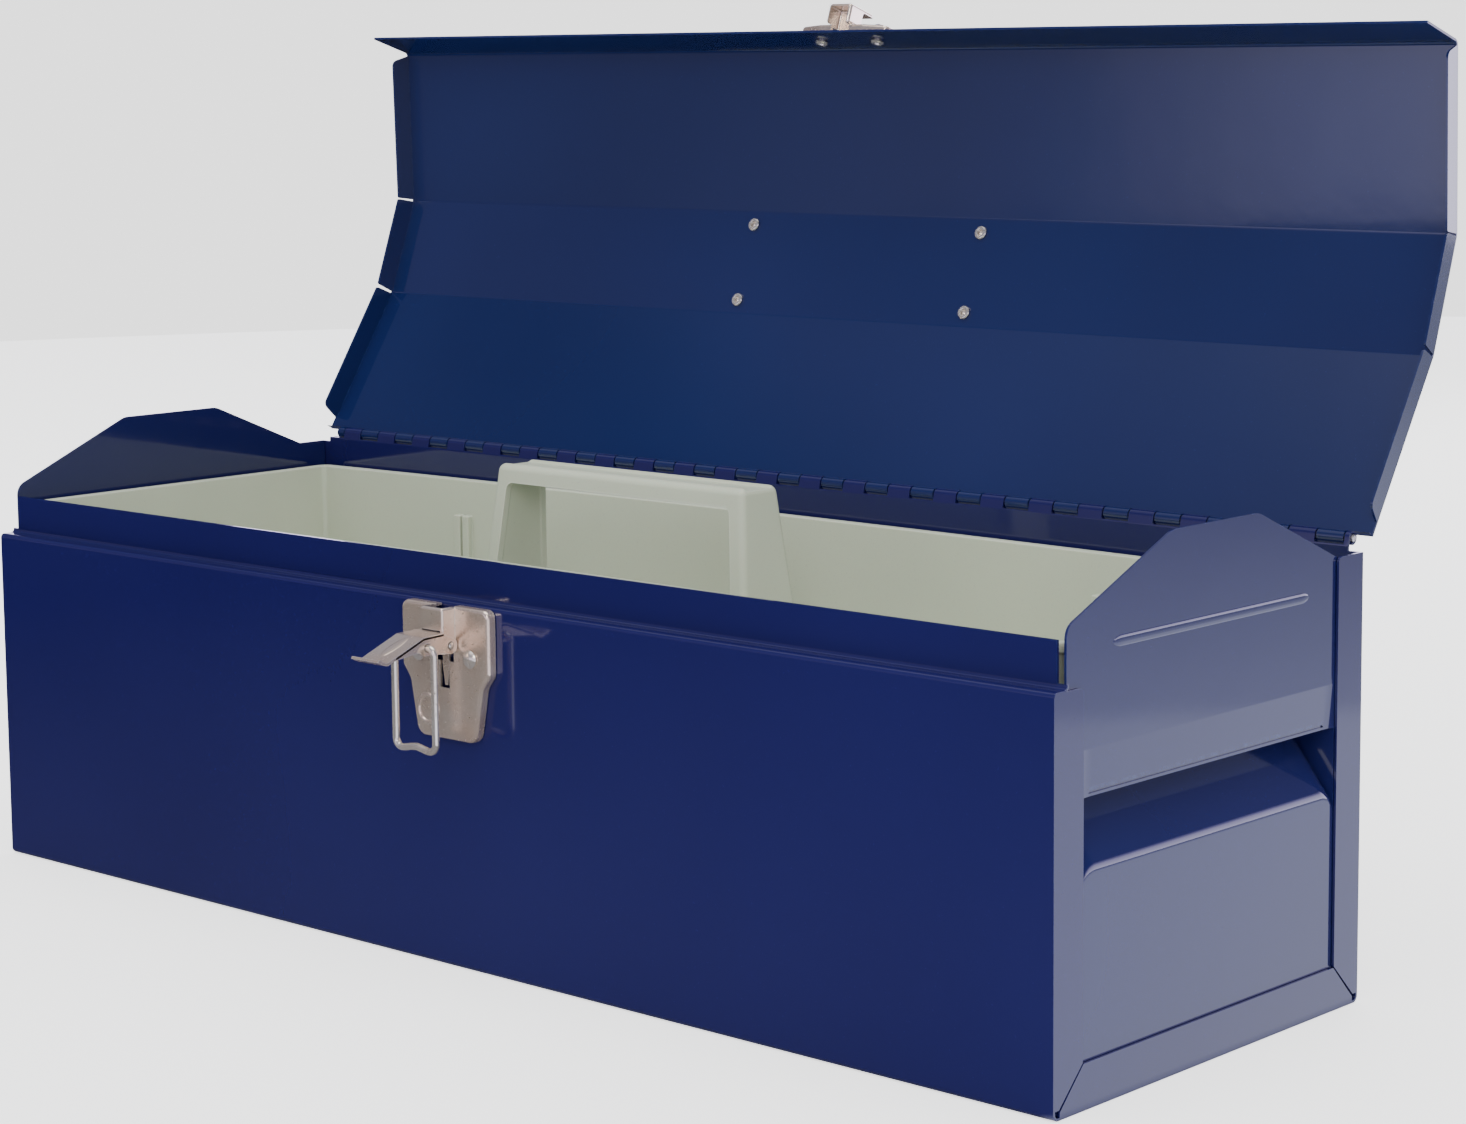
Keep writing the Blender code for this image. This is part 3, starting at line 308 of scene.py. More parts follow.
def block(low, high):
    low, high = Vector(low), Vector(high)
    work = bmesh.new()
    bmesh.ops.create_cube(work, size=1.0)
    bmesh.ops.scale(work, vec=high - low, verts=work.verts)
    bmesh.ops.translate(work, vec=(low + high) / 2, verts=work.verts)
    return from_bmesh(work)


def rod(start, stop, radius, sides=32):
    start, stop = Vector(start), Vector(stop)
    along = stop - start
    work = bmesh.new()
    bmesh.ops.create_cone(work, cap_ends=True, segments=sides, radius1=radius,
                          radius2=radius, depth=along.length)
    turn = along.to_track_quat("Z", "Y").to_matrix().to_4x4()
    bmesh.ops.transform(work, matrix=Matrix.Translation((start + stop) / 2) @ turn,
                        verts=work.verts)
    return from_bmesh(work)


def loft(sections):
    """A capped skin over closed sections that all have the same number of points."""
    work = bmesh.new()
    rows = [[work.verts.new(p) for p in section] for section in sections]
    count = len(rows[0])
    for a, b in zip(rows, rows[1:]):
        for i in range(count):
            j = (i + 1) % count
            work.faces.new((a[i], a[j], b[j], b[i]))
    work.faces.new(rows[0][::-1])
    work.faces.new(rows[-1])
    return from_bmesh(work)


def tube(path, radii, sides=20):
    """A round bar swept along 3-D points, with its frame carried along the path."""
    path = [Vector(p) for p in path]
    sections = []
    along = (path[1] - path[0]).normalized()
    side = along.orthogonal().normalized()
    for i, place in enumerate(path):
        ahead = path[min(i + 1, len(path) - 1)] - path[max(i - 1, 0)]
        turn = along.rotation_difference(ahead.normalized())
        along = ahead.normalized()
        side = (turn @ side).normalized()
        other = along.cross(side)
        ring = []
        for k in range(sides):
            angle = 2 * math.pi * k / sides
            ring.append(place + (side * math.cos(angle) + other * math.sin(angle)) * radii[i])
        sections.append(ring)
    return loft(sections)


def turned(profile, centre, axis, steps=36):
    """A turned mesh from (radius, distance along the axis) pairs that start and end on the axis."""
    work = bmesh.new()
    rows = []
    for radius, along in profile:
        if radius < 1e-7:
            rows.append([work.verts.new((0, 0, along))])
            continue
        rows.append([work.verts.new((radius * math.cos(2 * math.pi * k / steps),
                                     radius * math.sin(2 * math.pi * k / steps), along))
                     for k in range(steps)])
    for a, b in zip(rows, rows[1:]):
        for k in range(steps):
            j = (k + 1) % steps
            if len(a) == 1:
                work.faces.new((a[0], b[k], b[j]))
            elif len(b) == 1:
                work.faces.new((a[k], b[0], a[j]))
            else:
                work.faces.new((a[k], b[k], b[j], a[j]))
    mesh = from_bmesh(work)
    turn = Vector(axis).to_track_quat("Z", "Y").to_matrix().to_4x4()
    mesh.transform(Matrix.Translation(centre) @ turn)
    return mesh


def joined(meshes):
    work = bmesh.new()
    for mesh in meshes:
        work.from_mesh(mesh)
    together = bpy.data.meshes.new("joined")
    work.to_mesh(together)
    work.free()
    return together


def folded_sheet(profile, half_length, thickness):
    """A sheet bent along X from its outer section in YZ, made solid on the inside."""
    work = bmesh.new()
    a, b = [[work.verts.new((x, y, z)) for y, z in profile] for x in (-half_length, half_length)]
    for i in range(len(profile) - 1):
        work.faces.new((a[i], b[i], b[i + 1], a[i + 1]))
    for face in work.faces:
        face.normal_update()
    mesh = bpy.data.meshes.new("folded")
    work.to_mesh(mesh)
    work.free()
    obj = placed("temporary", mesh)
    modifier = obj.modifiers.new("thickness", "SOLIDIFY")
    modifier.thickness = thickness
    modifier.offset = -1
    modifier.use_even_offset = True
    return settled(obj)


def placed(name, data):
    obj = bpy.data.objects.new(name, data)
    bpy.context.scene.collection.objects.link(obj)
    return obj


def settled(obj):
    """The object's mesh with its modifiers applied; the object is removed."""
    depsgraph = bpy.context.evaluated_depsgraph_get()
    mesh = bpy.data.meshes.new_from_object(obj.evaluated_get(depsgraph))
    bpy.data.objects.remove(obj)
    return mesh


def combined(mesh, others, operation):
    """The mesh with closed meshes joined to it or cut from it, one after another."""
    for other in others:
        obj, tool = placed("temporary", mesh), placed("temporary", other)
        modifier = obj.modifiers.new("boolean", "BOOLEAN")
        modifier.operation = operation
        modifier.object = tool
        modifier.solver = "EXACT"
        mesh = settled(obj)
        bpy.data.objects.remove(tool)
    return mesh


def cut(mesh, *others):
    return combined(mesh, others, "DIFFERENCE")


def fuse(mesh, *others):
    return combined(mesh, others, "UNION")


def rounded(mesh, width, segments=2, angle=40):
    """The mesh with its sharp edges rounded."""
    obj = placed("temporary", mesh)
    modifier = obj.modifiers.new("rounding", "BEVEL")
    modifier.width = width
    modifier.segments = segments
    modifier.limit_method = "ANGLE"
    modifier.angle_limit = math.radians(angle)
    modifier.use_clamp_overlap = True
    return settled(obj)


def piece(name, mesh, material, body, nodes, smooth=38, crease=-1.0):
    """A finished visible piece that rides on its CAD body."""
    mesh.materials.clear()
    mesh.materials.append(material)
    obj = placed(name, mesh)
    mesh.shade_flat()
    for polygon in mesh.polygons:
        polygon.use_smooth = True
    work = bmesh.new()
    work.from_mesh(mesh)
    for edge in work.edges:
        sharp = len(edge.link_faces) != 2 or edge.calc_face_angle(0.0) > math.radians(smooth)
        sharp = sharp or all(abs(vertex.co.z - crease) < 0.1 * MM for vertex in edge.verts)
        edge.smooth = not sharp
    work.to_mesh(mesh)
    work.free()
    weighted = obj.modifiers.new("normals", "WEIGHTED_NORMAL")
    weighted.keep_sharp = True
    weighted.weight = 60
    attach(obj, body)
    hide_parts(*nodes)
    return obj


def bores(offset, z, start, stop):
    """A pair of rivet bores along Y, one on each side of the latch's middle."""
    return joined([rod((LATCH_X + u, start, z), (LATCH_X + u, stop, z), RIVET_BORE)
                   for u in (-offset, offset)])


def on_lid(mesh):
    """Turns a mesh laid out on the closed lid to the open rest pose."""
    mesh.transform(TO_OPEN)
    return mesh


# ---- hinge layout

PITCH = 20.18 * MM
HINGE_LEFT, HINGE_RIGHT = -233.0 * MM, 238.0 * MM
FIRST_BODY_KNUCKLE = -224.0 * MM
EYE = 1.4 * MM
CURL = math.radians(290)
CURL_STEPS = 22


def knuckle_spans(first):
    """X ranges of one sheet's knuckles, clipped to the hinge's length."""
    spans = []
    centre = first
    while centre - PITCH / 4 < HINGE_RIGHT:
        low = max(centre - PITCH / 4 + GAP, HINGE_LEFT)
        high = min(centre + PITCH / 4 - GAP, HINGE_RIGHT)
        if high - low > MM:
            spans.append((low, high))
        centre += PITCH
    return spans


BODY_SPANS = knuckle_spans(FIRST_BODY_KNUCKLE)
LID_SPANS = knuckle_spans(FIRST_BODY_KNUCKLE - PITCH / 2)


def gaps_between(spans, far):
    """The X ranges that a row of knuckles leaves free, out to far on both sides."""
    edges = [-far] + [edge for span in spans for edge in span] + [far]
    return list(zip(edges[0::2], edges[1::2]))


def make_hinge_wire():
    half = mm((0, 235.3), (0.8, 235.2), (1.1, 234.9))
    profile = [(radius, -along) for radius, along in half] + half[::-1]
    wire = turned(profile, (2.5 * MM, HINGE.y, HINGE.z), (1, 0, 0), 24)
    piece("hinge_wire", wire, WIRE, "body", ["hinge_pin"])


# ---- body

def make_body():
    """Front, bottom and back in one sheet, with gutter strip, knuckles and end flanges."""
    w, gutter_y, gutter_top = WIDE, -WIDE + 5.8 * MM, 133.8 * MM
    roll = arc(HINGE.yz, EYE, math.pi - CURL, math.pi, CURL_STEPS)
    folds = [(w, BACK_TOP + MM), (w, 0), (-w, 0), (-w, LEDGE), (gutter_y, LEDGE),
             (gutter_y, gutter_top)]
    bends = (0, 2.2 * MM, 2.2 * MM, 1.5 * MM, 1.3 * MM, 0)
    wrap = folded_sheet(roll + fillet(folds, bends, 6), HALF, SHEET)
    far = HALF + 2 * MM
    floor = HINGE.z - EYE - SHEET + 0.35 * MM
    past_hinge = (HINGE.y + 4 * MM, HINGE.z + 4 * MM)
    windows = [block((low, w - 2 * MM, floor), (high, *past_hinge))
               for low, high in gaps_between(BODY_SPANS, far)]
    ends = []
    for side in (-1, 1):
        near, outer = sorted((side * 238.6 * MM, side * far))
        ends.append(block((near, gutter_y - MM, LEDGE + 1.5 * MM),
                          (outer, gutter_y + 2 * MM, gutter_top + MM)))
        near, outer = sorted((side * (HALF - 5 * MM), side * far))
        ends.append(block((near, w - 2 * MM, BACK_TOP), (outer, *past_hinge)))
    holes = bores(LATCH_RIVET_X, LATCH_RIVET_Z, -w - 2 * MM, -w + 2 * MM)
    wrap = cut(wrap, joined(windows), joined(ends), holes)
    wrap = fuse(wrap, joined(body_flanges(-1) + body_flanges(1)))
    wrap = rounded(wrap, 0.22 * MM, 2, 50)
    piece("body_shell", wrap, FRONT_BLUE, "body", ["body_wrap"])


def body_flanges(side):
    """Front, bottom and back flanges folded round the end plate, mitred at the lower corners."""
    w, inner, slit, clip = WIDE - SHEET / 2, WIDE - FLANGE, 0.35 * MM, 2.6 * MM
    ledge = LEDGE - SHEET / 2
    front = fillet([(-w, clip + slit), (-w + clip - SHEET / 2, clip + slit),
                    (-inner, FLANGE + slit), (-inner, ledge), (-w, ledge)],
                   (0, 0, 0.8 * MM, 1.8 * MM, 0), 4, True)
    back = fillet([(w, BACK_TOP), (inner, BACK_TOP), (inner, FLANGE + slit),
                   (w - clip + SHEET / 2, clip + slit), (w, clip + slit)],
                  (0, 1.8 * MM, 0.8 * MM, 0, 0), 4, True)
    bottom = fillet([(-w + clip, SHEET / 2), (w - clip, SHEET / 2), (w - clip, clip - slit),
                     (inner - slit, FLANGE), (-inner + slit, FLANGE),
                     (-w + clip, clip - slit)],
                    (0, 0, 0, 0.8 * MM, 0.8 * MM, 0), 4, True)
    ends = sorted((side * (HALF - SHEET), side * HALF))
    return [slab(outline, *ends) for outline in (front, back, bottom)]


# ---- end plates

HANDHOLD_TOP = 88.3 * MM
HANDHOLD_REACH = 64.3 * MM
BAND_TOP = 102.0 * MM


def plate_outline():
    edge, foot = WIDE - SHEET - GAP, SHEET + GAP
    step_z, shoulder, back_top = LEDGE - SHEET - 0.6 * MM, -71.0 * MM, 140.4 * MM
    corners = [(-edge, foot), (-edge, step_z), (shoulder, step_z), (shoulder, 137.2 * MM),
               *mm((-21.0, 158.8), (22.3, 158.8)), (65.5 * MM, back_top), (edge, back_top),
               (edge, foot)]
    radii = [2.2 * MM, 0, 0, 5 * MM, 9 * MM, 9 * MM, 9 * MM, 1.5 * MM, 2.2 * MM]
    return fillet(corners, radii, 7, True)


def pocket_ring(side, face, y, offset, drop):
    """Section of the drawn handhold at one place across the plate, grown by an offset."""
    top, foot, deep = HANDHOLD_TOP, 68.2 * MM - drop, 13.6 * MM
    lead = -MM if offset == 0 else SHEET / 2
    depth = deep + offset
    toe = (lead, foot - 4.4 * MM - offset)
    section = [(lead, top + offset), (depth, top + offset),
               (depth, 86.5 * MM - drop - offset), (0.6 * offset, foot - 0.2 * offset),
               (0.0, toe[1] + 0.8 * MM), toe]
    outline = fillet(section, (0, 1.6 * MM + offset, 1.2 * MM, 10.0 * MM, 0, 0), 8, True)
    return [(side * (face - u), y, v) for u, v in outline]


def pocket_mesh(side, face, offset):
    """The handhold from end to end; its lower lip rolls down at both ends."""
    reach, roll = HANDHOLD_REACH + offset, 7.0 * MM
    stations = [reach * k / 6 for k in range(-5, 6)]
    stations += [s * (reach - roll * t) for s in (-1, 1)
                 for t in (0.0, 0.06, 0.14, 0.25, 0.4, 0.6, 0.8, 1.0)]
    rings = []
    for y in sorted(set(round(v, 7) for v in stations)):
        t = max(0.0, (abs(y) - (reach - roll)) / roll)
        drop = 5.0 * MM * (1 - math.sqrt(max(0.0, 1 - t * t)))
        rings.append(pocket_ring(side, face, y, offset, drop))
    return loft(rings)


def leaning_band(side, section):
    """The strip above the handhold: it leans in towards its lower edge and fades at the ends."""
    half = [(HANDHOLD_REACH, 0.05), (62.5 * MM, 0.7), (59 * MM, 1.0)]
    return loft([[(side * (x - lean * share), y, z) for x, lean, z in section]
                 for y, share in [(-y, share) for y, share in half] + half[::-1]])


def make_end_plate(name, side):
    """Pressed plate: drawn handhold with a rolled lip, and a raised bead."""
    face = HALF - SHEET - GAP
    low, high = sorted((side * (face - SHEET), side * face))
    plate = slab(plate_outline(), low, high)
    lean, top, edge = 0.9 * MM, BAND_TOP, HANDHOLD_TOP
    inner, middle, outer = face - SHEET, face - SHEET / 2, face + MM
    behind = [(middle, 0, top + MM), (inner, 0, top + MM), (inner, 0, top),
              (inner, lean, edge), (middle, lean, edge)]
    dip = [(outer, 0, top), (face, 0, top), (face, lean, edge), (face, lean, edge - MM),
           (outer, 0, edge - MM)]
    plate = fuse(plate, leaning_band(side, behind))
    plate = fuse(plate, pocket_mesh(side, face, SHEET))
    plate = cut(plate, pocket_mesh(side, face, 0), leaning_band(side, dip))
    plate = fuse(plate, bead_mesh(side, face))
    plate = rounded(plate, 0.25 * MM, 2, 48)
    piece(name + "_pressed", plate, PLATE_BLUE, "body", [name], crease=BAND_TOP)


def bead_mesh(side, face):
    """A long raised bead with pointed ends and a rounded crown."""
    sections = []
    steps = 40
    half, middle, height, width = 50.2 * MM, 130.4 * MM, 0.30 * MM, 1.6 * MM
    for i in range(steps + 1):
        t = -1 + 2 * i / steps
        y = half * math.sin(t * math.pi / 2)
        ease = max(0.02, min(1.0, (half - abs(y)) / (3.5 * MM))) ** 0.6
        ring = []
        for k in range(13):
            a = math.pi * k / 12
            crown = face - 0.15 * MM + height * math.sin(a) * ease + 0.15 * MM * ease
            ring.append((side * crown, y, middle - math.cos(a) * 1.6 * MM * ease))
        ring += [(side * (face - 0.5 * MM), y, middle + s * width * ease) for s in (1, -1)]
        sections.append(ring)
    return loft(sections)


# ---- lid

LID_HALF = 242.3 * MM
LID_TOP = 161.6 * MM
LID_FOLDS = mm((-78.2, 120.9), (-78.6, 140.1), (-22.0, 161.6), (17.4, 161.6))


def lid_slope():
    """Downward angle of the back slope, tangent to the knuckles."""
    across, drop = HINGE.y - LID_FOLDS[3][0], LID_TOP - HINGE.z
    return math.atan2(drop, across) - math.asin((EYE + SHEET) / math.hypot(across, drop))


def make_lid():
    """Hip-roof lid in one sheet, with knuckles, end flanges and rivet bores."""
    slope = lid_slope()
    meet = math.pi / 2 - slope
    roll = arc(HINGE.yz, EYE + SHEET, meet, meet - CURL, CURL_STEPS)
    bends = (0, 2.2 * MM, 3.0 * MM, 3.0 * MM, 0)
    lid = folded_sheet(fillet(LID_FOLDS + [roll[0]], bends, 6)[:-1] + roll, LID_HALF, SHEET)
    far, reach = LID_HALF + 2 * MM, EYE + SHEET - 0.15 * MM
    windows = []
    for low, high in gaps_between(LID_SPANS, far):
        window = block((low, -reach, -4 * MM), (high, 4 * MM, 4 * MM))
        window.transform(Matrix.Translation(HINGE) @ Matrix.Rotation(-slope, 4, "X"))
        windows.append(window)
    holes = [rod((x, y, LID_TOP - 3 * MM), (x, y, LID_TOP + 3 * MM), RIVET_BORE)
             for x, y in handle_rivets()]
    holes.append(bores(STRIKE_RIVET_X, STRIKE_RIVET_Z, -81 * MM, -75 * MM))
    lid = cut(lid, joined(windows), joined(holes))
    end_y = 74.4 * MM
    back = (end_y, LID_TOP - (end_y - LID_FOLDS[3][0]) * math.tan(slope))
    front, roof_front, roof_back = LID_FOLDS[1:]
    notch = (0.5 * MM, 1.7 * MM)
    flanges = []
    for side in (-1, 1):
        flanges += [
            lid_flange(front, roof_front, side, (1.5 * MM, 3.6 * MM), notch, (2.6, 0.8)),
            lid_flange(roof_front, roof_back, side, notch, notch, (0.8, 0.8)),
            lid_flange(roof_back, back, side, notch, (0.5 * MM, 2.6 * MM), (0.8, 2.6))]
    lid = fuse(lid, joined(flanges))
    lid = rounded(lid, 0.2 * MM, 2, 50)
    piece("lid_pressed", on_lid(lid), LID_BLUE, "lid", ["lid_shell"])


def lid_flange(start, stop, side, trim_start, trim_stop, corner):
    """One end flange below the fold line from start to stop, splayed outwards."""
    start, stop = Vector(start), Vector(stop)
    along = (stop - start).normalized()
    down = Vector((along.y, -along.x))
    splay = 0.16
    outline = [start + along * trim_start[0] + down * SHEET / 2,
               stop - along * trim_stop[0] + down * SHEET / 2,
               stop - along * trim_stop[1] + down * 8 * MM,
               start + along * trim_start[1] + down * 8 * MM]
    outline = fillet(outline, (0, 0, corner[1] * MM, corner[0] * MM), 5, True)
    mesh = slab(outline, *sorted((side * LID_HALF, side * (LID_HALF - SHEET))))
    for vertex in mesh.vertices:
        depth = (vertex.co.yz - start).dot(down)
        vertex.co.x += side * splay * (depth - SHEET / 2)
    return mesh


HANDLE_Y, HANDLE_Z = -2.3 * MM, LID_TOP + 5.2 * MM
BRACKET_X = 53.5 * MM


def handle_rivets():
    return [(HANDLE_X + side * BRACKET_X, HANDLE_Y + end * 14.5 * MM)
            for side in (-1, 1) for end in (-1, 1)]


# ---- carry handle

def make_handle():
    """Two saddle brackets riveted to the lid, with the folding bar between them."""
    foot, eye, reach, half = LID_TOP + 1.3 * MM, 4.3 * MM, 18.6 * MM, 7 * MM
    y = HANDLE_Y
    for word, side in (("left", -1), ("right", 1)):
        name = "handle_bracket_" + word
        crown = arc((y, HANDLE_Z), eye, math.pi, 0, 22)
        outline = [(y - reach, foot), (y - eye, foot), *crown, (y + eye, foot), (y + reach, foot)]
        mesh = folded_sheet(outline, half, MM)
        centre = HANDLE_X + side * BRACKET_X
        mesh.transform(Matrix.Translation((centre, 0, 0)))
        plan = [(-half, -reach), (half, -reach), (half, reach), (-half, reach)]
        plan = [(centre + u, y + v) for u, v in fillet(plan, 5.0 * MM, 8, True)]
        keep = slab(plan, LID_TOP, LID_TOP + 14 * MM, Matrix.Identity(4))
        mesh = combined(mesh, [keep], "INTERSECT")
        holes = [rod((x, hy, foot - 3 * MM), (x, hy, foot + 2 * MM), RIVET_BORE)
                 for x, hy in handle_rivets() if (x > HANDLE_X) == (side > 0)]
        mesh = rounded(cut(mesh, joined(holes)), 0.2 * MM, 2, 45)
        piece(name + "_saddle", on_lid(mesh), NICKEL, "lid", [name])
    for number, (x, rivet_y) in enumerate(handle_rivets(), 1):
        tubular_rivet("handle_rivet_%d" % number, x, rivet_y)
    make_bail()


def tubular_rivet(name, x, y):
    """Domed head outside; inside, a rolled tail split into petals."""
    tail = -SHEET - GAP
    head = raised(1.6 * MM, (0, 1.7), (1.0, 1.62), (1.9, 1.35), (2.7, 0.85), (3.2, 0.25),
                  (3.2, 0), (1.6, 0))
    rolled = raised(tail, (1.6, 0), (2.3, 0), (2.4, -0.35), (2.15, -0.75), (1.7, -0.9),
                    (1.25, -0.75), (1.1, -0.2))
    profile = head + rolled + raised(0, (1.1, 0), (0, 0))
    mesh = turned(profile, (x, y, LID_TOP), (0, 0, 1))
    slits = []
    for k in range(3):
        blade = block((-0.18 * MM, 0, tail - 2 * MM), (0.18 * MM, 3 * MM, tail - 0.12 * MM))
        turn = Matrix.Rotation(2.1 * k + 40 * x, 4, "Z")
        blade.transform(Matrix.Translation((x, y, LID_TOP)) @ turn)
        slits.append(blade)
    mesh = cut(mesh, joined(slits))
    piece(name + "_turned", on_lid(mesh), BRIGHT, "lid", [name])


def make_bail():
    """Bent bar, necked down where it turns in the brackets, hanging behind the lid."""
    span, height, bar, bend = 67 * MM, 40 * MM, 4.3 * MM, 15 * MM
    shoulder, low_bend = 60.9 * MM, 6.5 * MM
    neck = [(48.5 * MM, 0), (49 * MM, 0), (shoulder - 0.2 * MM, 0), (shoulder + 0.3 * MM, 0),
            (shoulder + 0.9 * MM, 0.08 * MM)]
    half = neck + arc((span - low_bend, low_bend), low_bend, -math.pi / 2 + 0.25, 0, 12)
    half += arc((span - bend, height - bend), bend, 0, math.pi / 2, 18)
    radii = [r * MM for r in (2.5, 2.9, 2.9, 3.9, 4.25)] + [bar] * (len(half) - len(neck))
    grip = [(u * MM, height) for u in (-30, -10, 10, 30)]
    outline = [(-u, v) for u, v in half] + grip + half[::-1]
    path = [(HANDLE_X + u, HANDLE_Y + v, HANDLE_Z) for u, v in outline]
    mesh = tube(path, radii + [bar] * len(grip) + radii[::-1], 28)
    pivot = Matrix.Translation((HANDLE_X, HANDLE_Y, HANDLE_Z))
    mesh.transform(pivot @ Matrix.Rotation(OPEN - math.pi / 2, 4, "X") @ pivot.inverted())
    piece("carry_bail", on_lid(mesh), NICKEL, "carry_handle", ["handle_bail"])


# ---- strike

def strike_outline(inset, radius):
    half, low, high = 20 * MM - inset, 124 * MM + inset, 137 * MM - inset
    right = [(10 * MM, low), (half, low + 2 * MM), (half, high)]
    corners = [(LATCH_X + u, v) for u, v in right] + [(LATCH_X - u, v) for u, v in reversed(right)]
    return fillet(corners, radius, 6, True)


def soft_pressing(outline, back, face, roll):
    """A plate whose front edge is rolled over towards the sheet it sits on."""
    work = bmesh.new()
    work.from_mesh(slab(outline, back, face, IN_XZ))
    rim = [edge for edge in work.edges
           if all(abs(vertex.co.y + face) < 1e-6 for vertex in edge.verts)]
    bmesh.ops.bevel(work, geom=rim, offset=roll, segments=5, profile=0.5, affect="EDGES")
    return from_bmesh(work)


def make_strike():
    """Riveted pan with a box-shaped hook, notched where the wire loop sits."""
    back, skin = 78.9 * MM, MM
    front = back + 2.8 * MM
    mesh = soft_pressing(strike_outline(0, 2.2 * MM), back, front, 1.1 * MM)
    half, tip, x = 5.2 * MM, -front - 7.0 * MM, LATCH_X
    box = block((x - half, tip, 121.6 * MM), (x + half, -front + 0.5 * MM, 135.0 * MM))
    mesh = fuse(mesh, rounded(box, 1.2 * MM, 4, 60))
    hollow = block((x - half + skin, tip + skin, 119 * MM),
                   (x + half - skin, -back + MM, 127.8 * MM))
    seat = block((x - 7 * MM, tip + 1.4 * MM, 128.8 * MM),
                 (x + 7 * MM, -front - 0.8 * MM, 140 * MM))
    holes = bores(STRIKE_RIVET_X, STRIKE_RIVET_Z, -back + MM, -front - MM)
    mesh = cut(mesh, slab(strike_outline(skin, 1.2 * MM), back - MM, front - skin, IN_XZ),
               rounded(hollow, 0.7 * MM, 3, 60), rounded(seat, 0.9 * MM, 3, 60), holes)
    mesh = rounded(mesh, 0.15 * MM, 2, 50)
    piece("strike_pressed", on_lid(mesh), NICKEL, "lid", ["latch_strike"])
    for word, u in (("left", -STRIKE_RIVET_X), ("right", STRIKE_RIVET_X)):
        flange_rivet("strike_rivet_" + word, x + u, -front - GAP, STRIKE_RIVET_Z,
                     -77.2 * MM, "lid")


def flange_rivet(name, x, face_y, z, inner_y, body):
    """Domed head in front, rolled tail behind."""
    length = inner_y - face_y
    head = raised(0, (0, 1.55), (0.9, 1.48), (1.7, 1.2), (2.4, 0.75), (2.9, 0.2), (2.9, 0),
                  (1.6, 0))
    rolled = raised(-length, (1.6, 0), (2.35, 0), (2.45, -0.35), (2.1, -0.85), (1.6, -1),
                    (1.1, -0.8), (0.9, -0.2), (0, -0.1))
    profile = head + rolled
    mesh = turned(profile, (x, face_y, z), (0, -1, 0))
    if body == "lid":
        mesh = on_lid(mesh)
    piece(name + "_turned", mesh, BRIGHT, body, [name])


# ---- draw latch

PIVOT = Vector((LATCH_X, -84.6 * MM, 107.8 * MM))
LOOP_PIVOT = Vector((LATCH_X, -94.5 * MM, 108.3 * MM))
HUMP_FRONT = -87.2 * MM


def latch_outline(grow=0.0):
    """Front view of the base plate, grown by an amount."""
    half = 20.3 * MM + grow
    side = [(half, 119.8 * MM + grow), (half, 98.5 * MM), (half - 3.4 * MM, 94.2 * MM),
            (half - 6.8 * MM, 76.2 * MM - grow)]
    return [(LATCH_X + u, v) for u, v in side] + [(LATCH_X - u, v) for u, v in reversed(side)]


def make_latch_base():
    """Pressed base plate with a hump for the pivot pin, a slot and a tongue in the slot."""
    panel, face, skin, x = WIDE + GAP, WIDE + 3.6 * MM, 0.9 * MM, LATCH_X
    radii = [2.8 * MM, 3.5 * MM, 5.0 * MM, 4.0 * MM]
    radii += radii[::-1]
    base = soft_pressing(fillet(latch_outline(), radii, 8, True), panel, face, 1.25 * MM)
    low = PIVOT.z - 3.0 * MM
    hump = block((x - 5.2 * MM, HUMP_FRONT, low), (x + 5.2 * MM, -face + 0.45 * MM, 119.8 * MM))
    base = fuse(base, rounded(hump, 0.9 * MM, 4, 60))
    pan = fillet(latch_outline(-skin), [max(r - skin, 0) for r in radii], 8, True)
    slim, slot, behind = 4.3 * MM, 2.2 * MM, -panel + MM
    base = cut(base, slab(pan, panel - MM, face - skin, IN_XZ),
               block((x - slim, HUMP_FRONT + skin, low - 3 * MM), (x + slim, behind, 121 * MM)),
               block((x - slim, HUMP_FRONT - MM, low - MM),
                     (x + slim, HUMP_FRONT + 2 * MM, 112.6 * MM)),
               block((x - slot, -face - MM, 93 * MM), (x + slot, behind, 104 * MM)))
    left = mm((1.3, 104.8), (1.7, 101.0), (0.6, 93.8))
    tongue = [(x - u, v) for u, v in left] + [(x + u, v) for u, v in reversed(left)]
    tongue = rounded(slab(tongue, face - 1.4 * MM, face - 0.6 * MM, IN_XZ), 0.15 * MM, 2, 50)
    piece("latch_tongue", tongue, NICKEL, "body", ["latch_base_plate"])
    far = 6.2 * MM
    pin = rod((PIVOT.x - far, PIVOT.y, PIVOT.z), (PIVOT.x + far, PIVOT.y, PIVOT.z), 1.4 * MM)
    rivets = bores(LATCH_RIVET_X, LATCH_RIVET_Z, -face - MM, -panel + 1.5 * MM)
    base = rounded(cut(base, joined([pin, rivets])), 0.14 * MM, 2, 50)
    base = fuse(base, coined_ring((x - 8.1 * MM, 85.4 * MM), face))
    piece("latch_base_pressed", base, NICKEL, "body", ["latch_base_plate"], 42)


def coined_ring(centre, face):
    """A raised ring with a half-round section, coined in the plate."""
    steps, sides = 48, 12
    ring_radius, width, height = 4.5 * MM, 0.62 * MM, 0.6 * MM
    work = bmesh.new()
    rows = []
    for i in range(steps):
        a = 2 * math.pi * i / steps
        ring = []
        for k in range(sides):
            b = 2 * math.pi * k / sides
            r = ring_radius + width * math.cos(b)
            ring.append(work.verts.new((centre[0] + r * math.cos(a), -face - height * math.sin(b),
                                        centre[1] + r * math.sin(a))))
        rows.append(ring)
    for i in range(steps):
        a, b = rows[i], rows[(i + 1) % steps]
        for k in range(sides):
            j = (k + 1) % sides
            work.faces.new((a[k], a[j], b[j], b[k]))
    return from_bmesh(work)


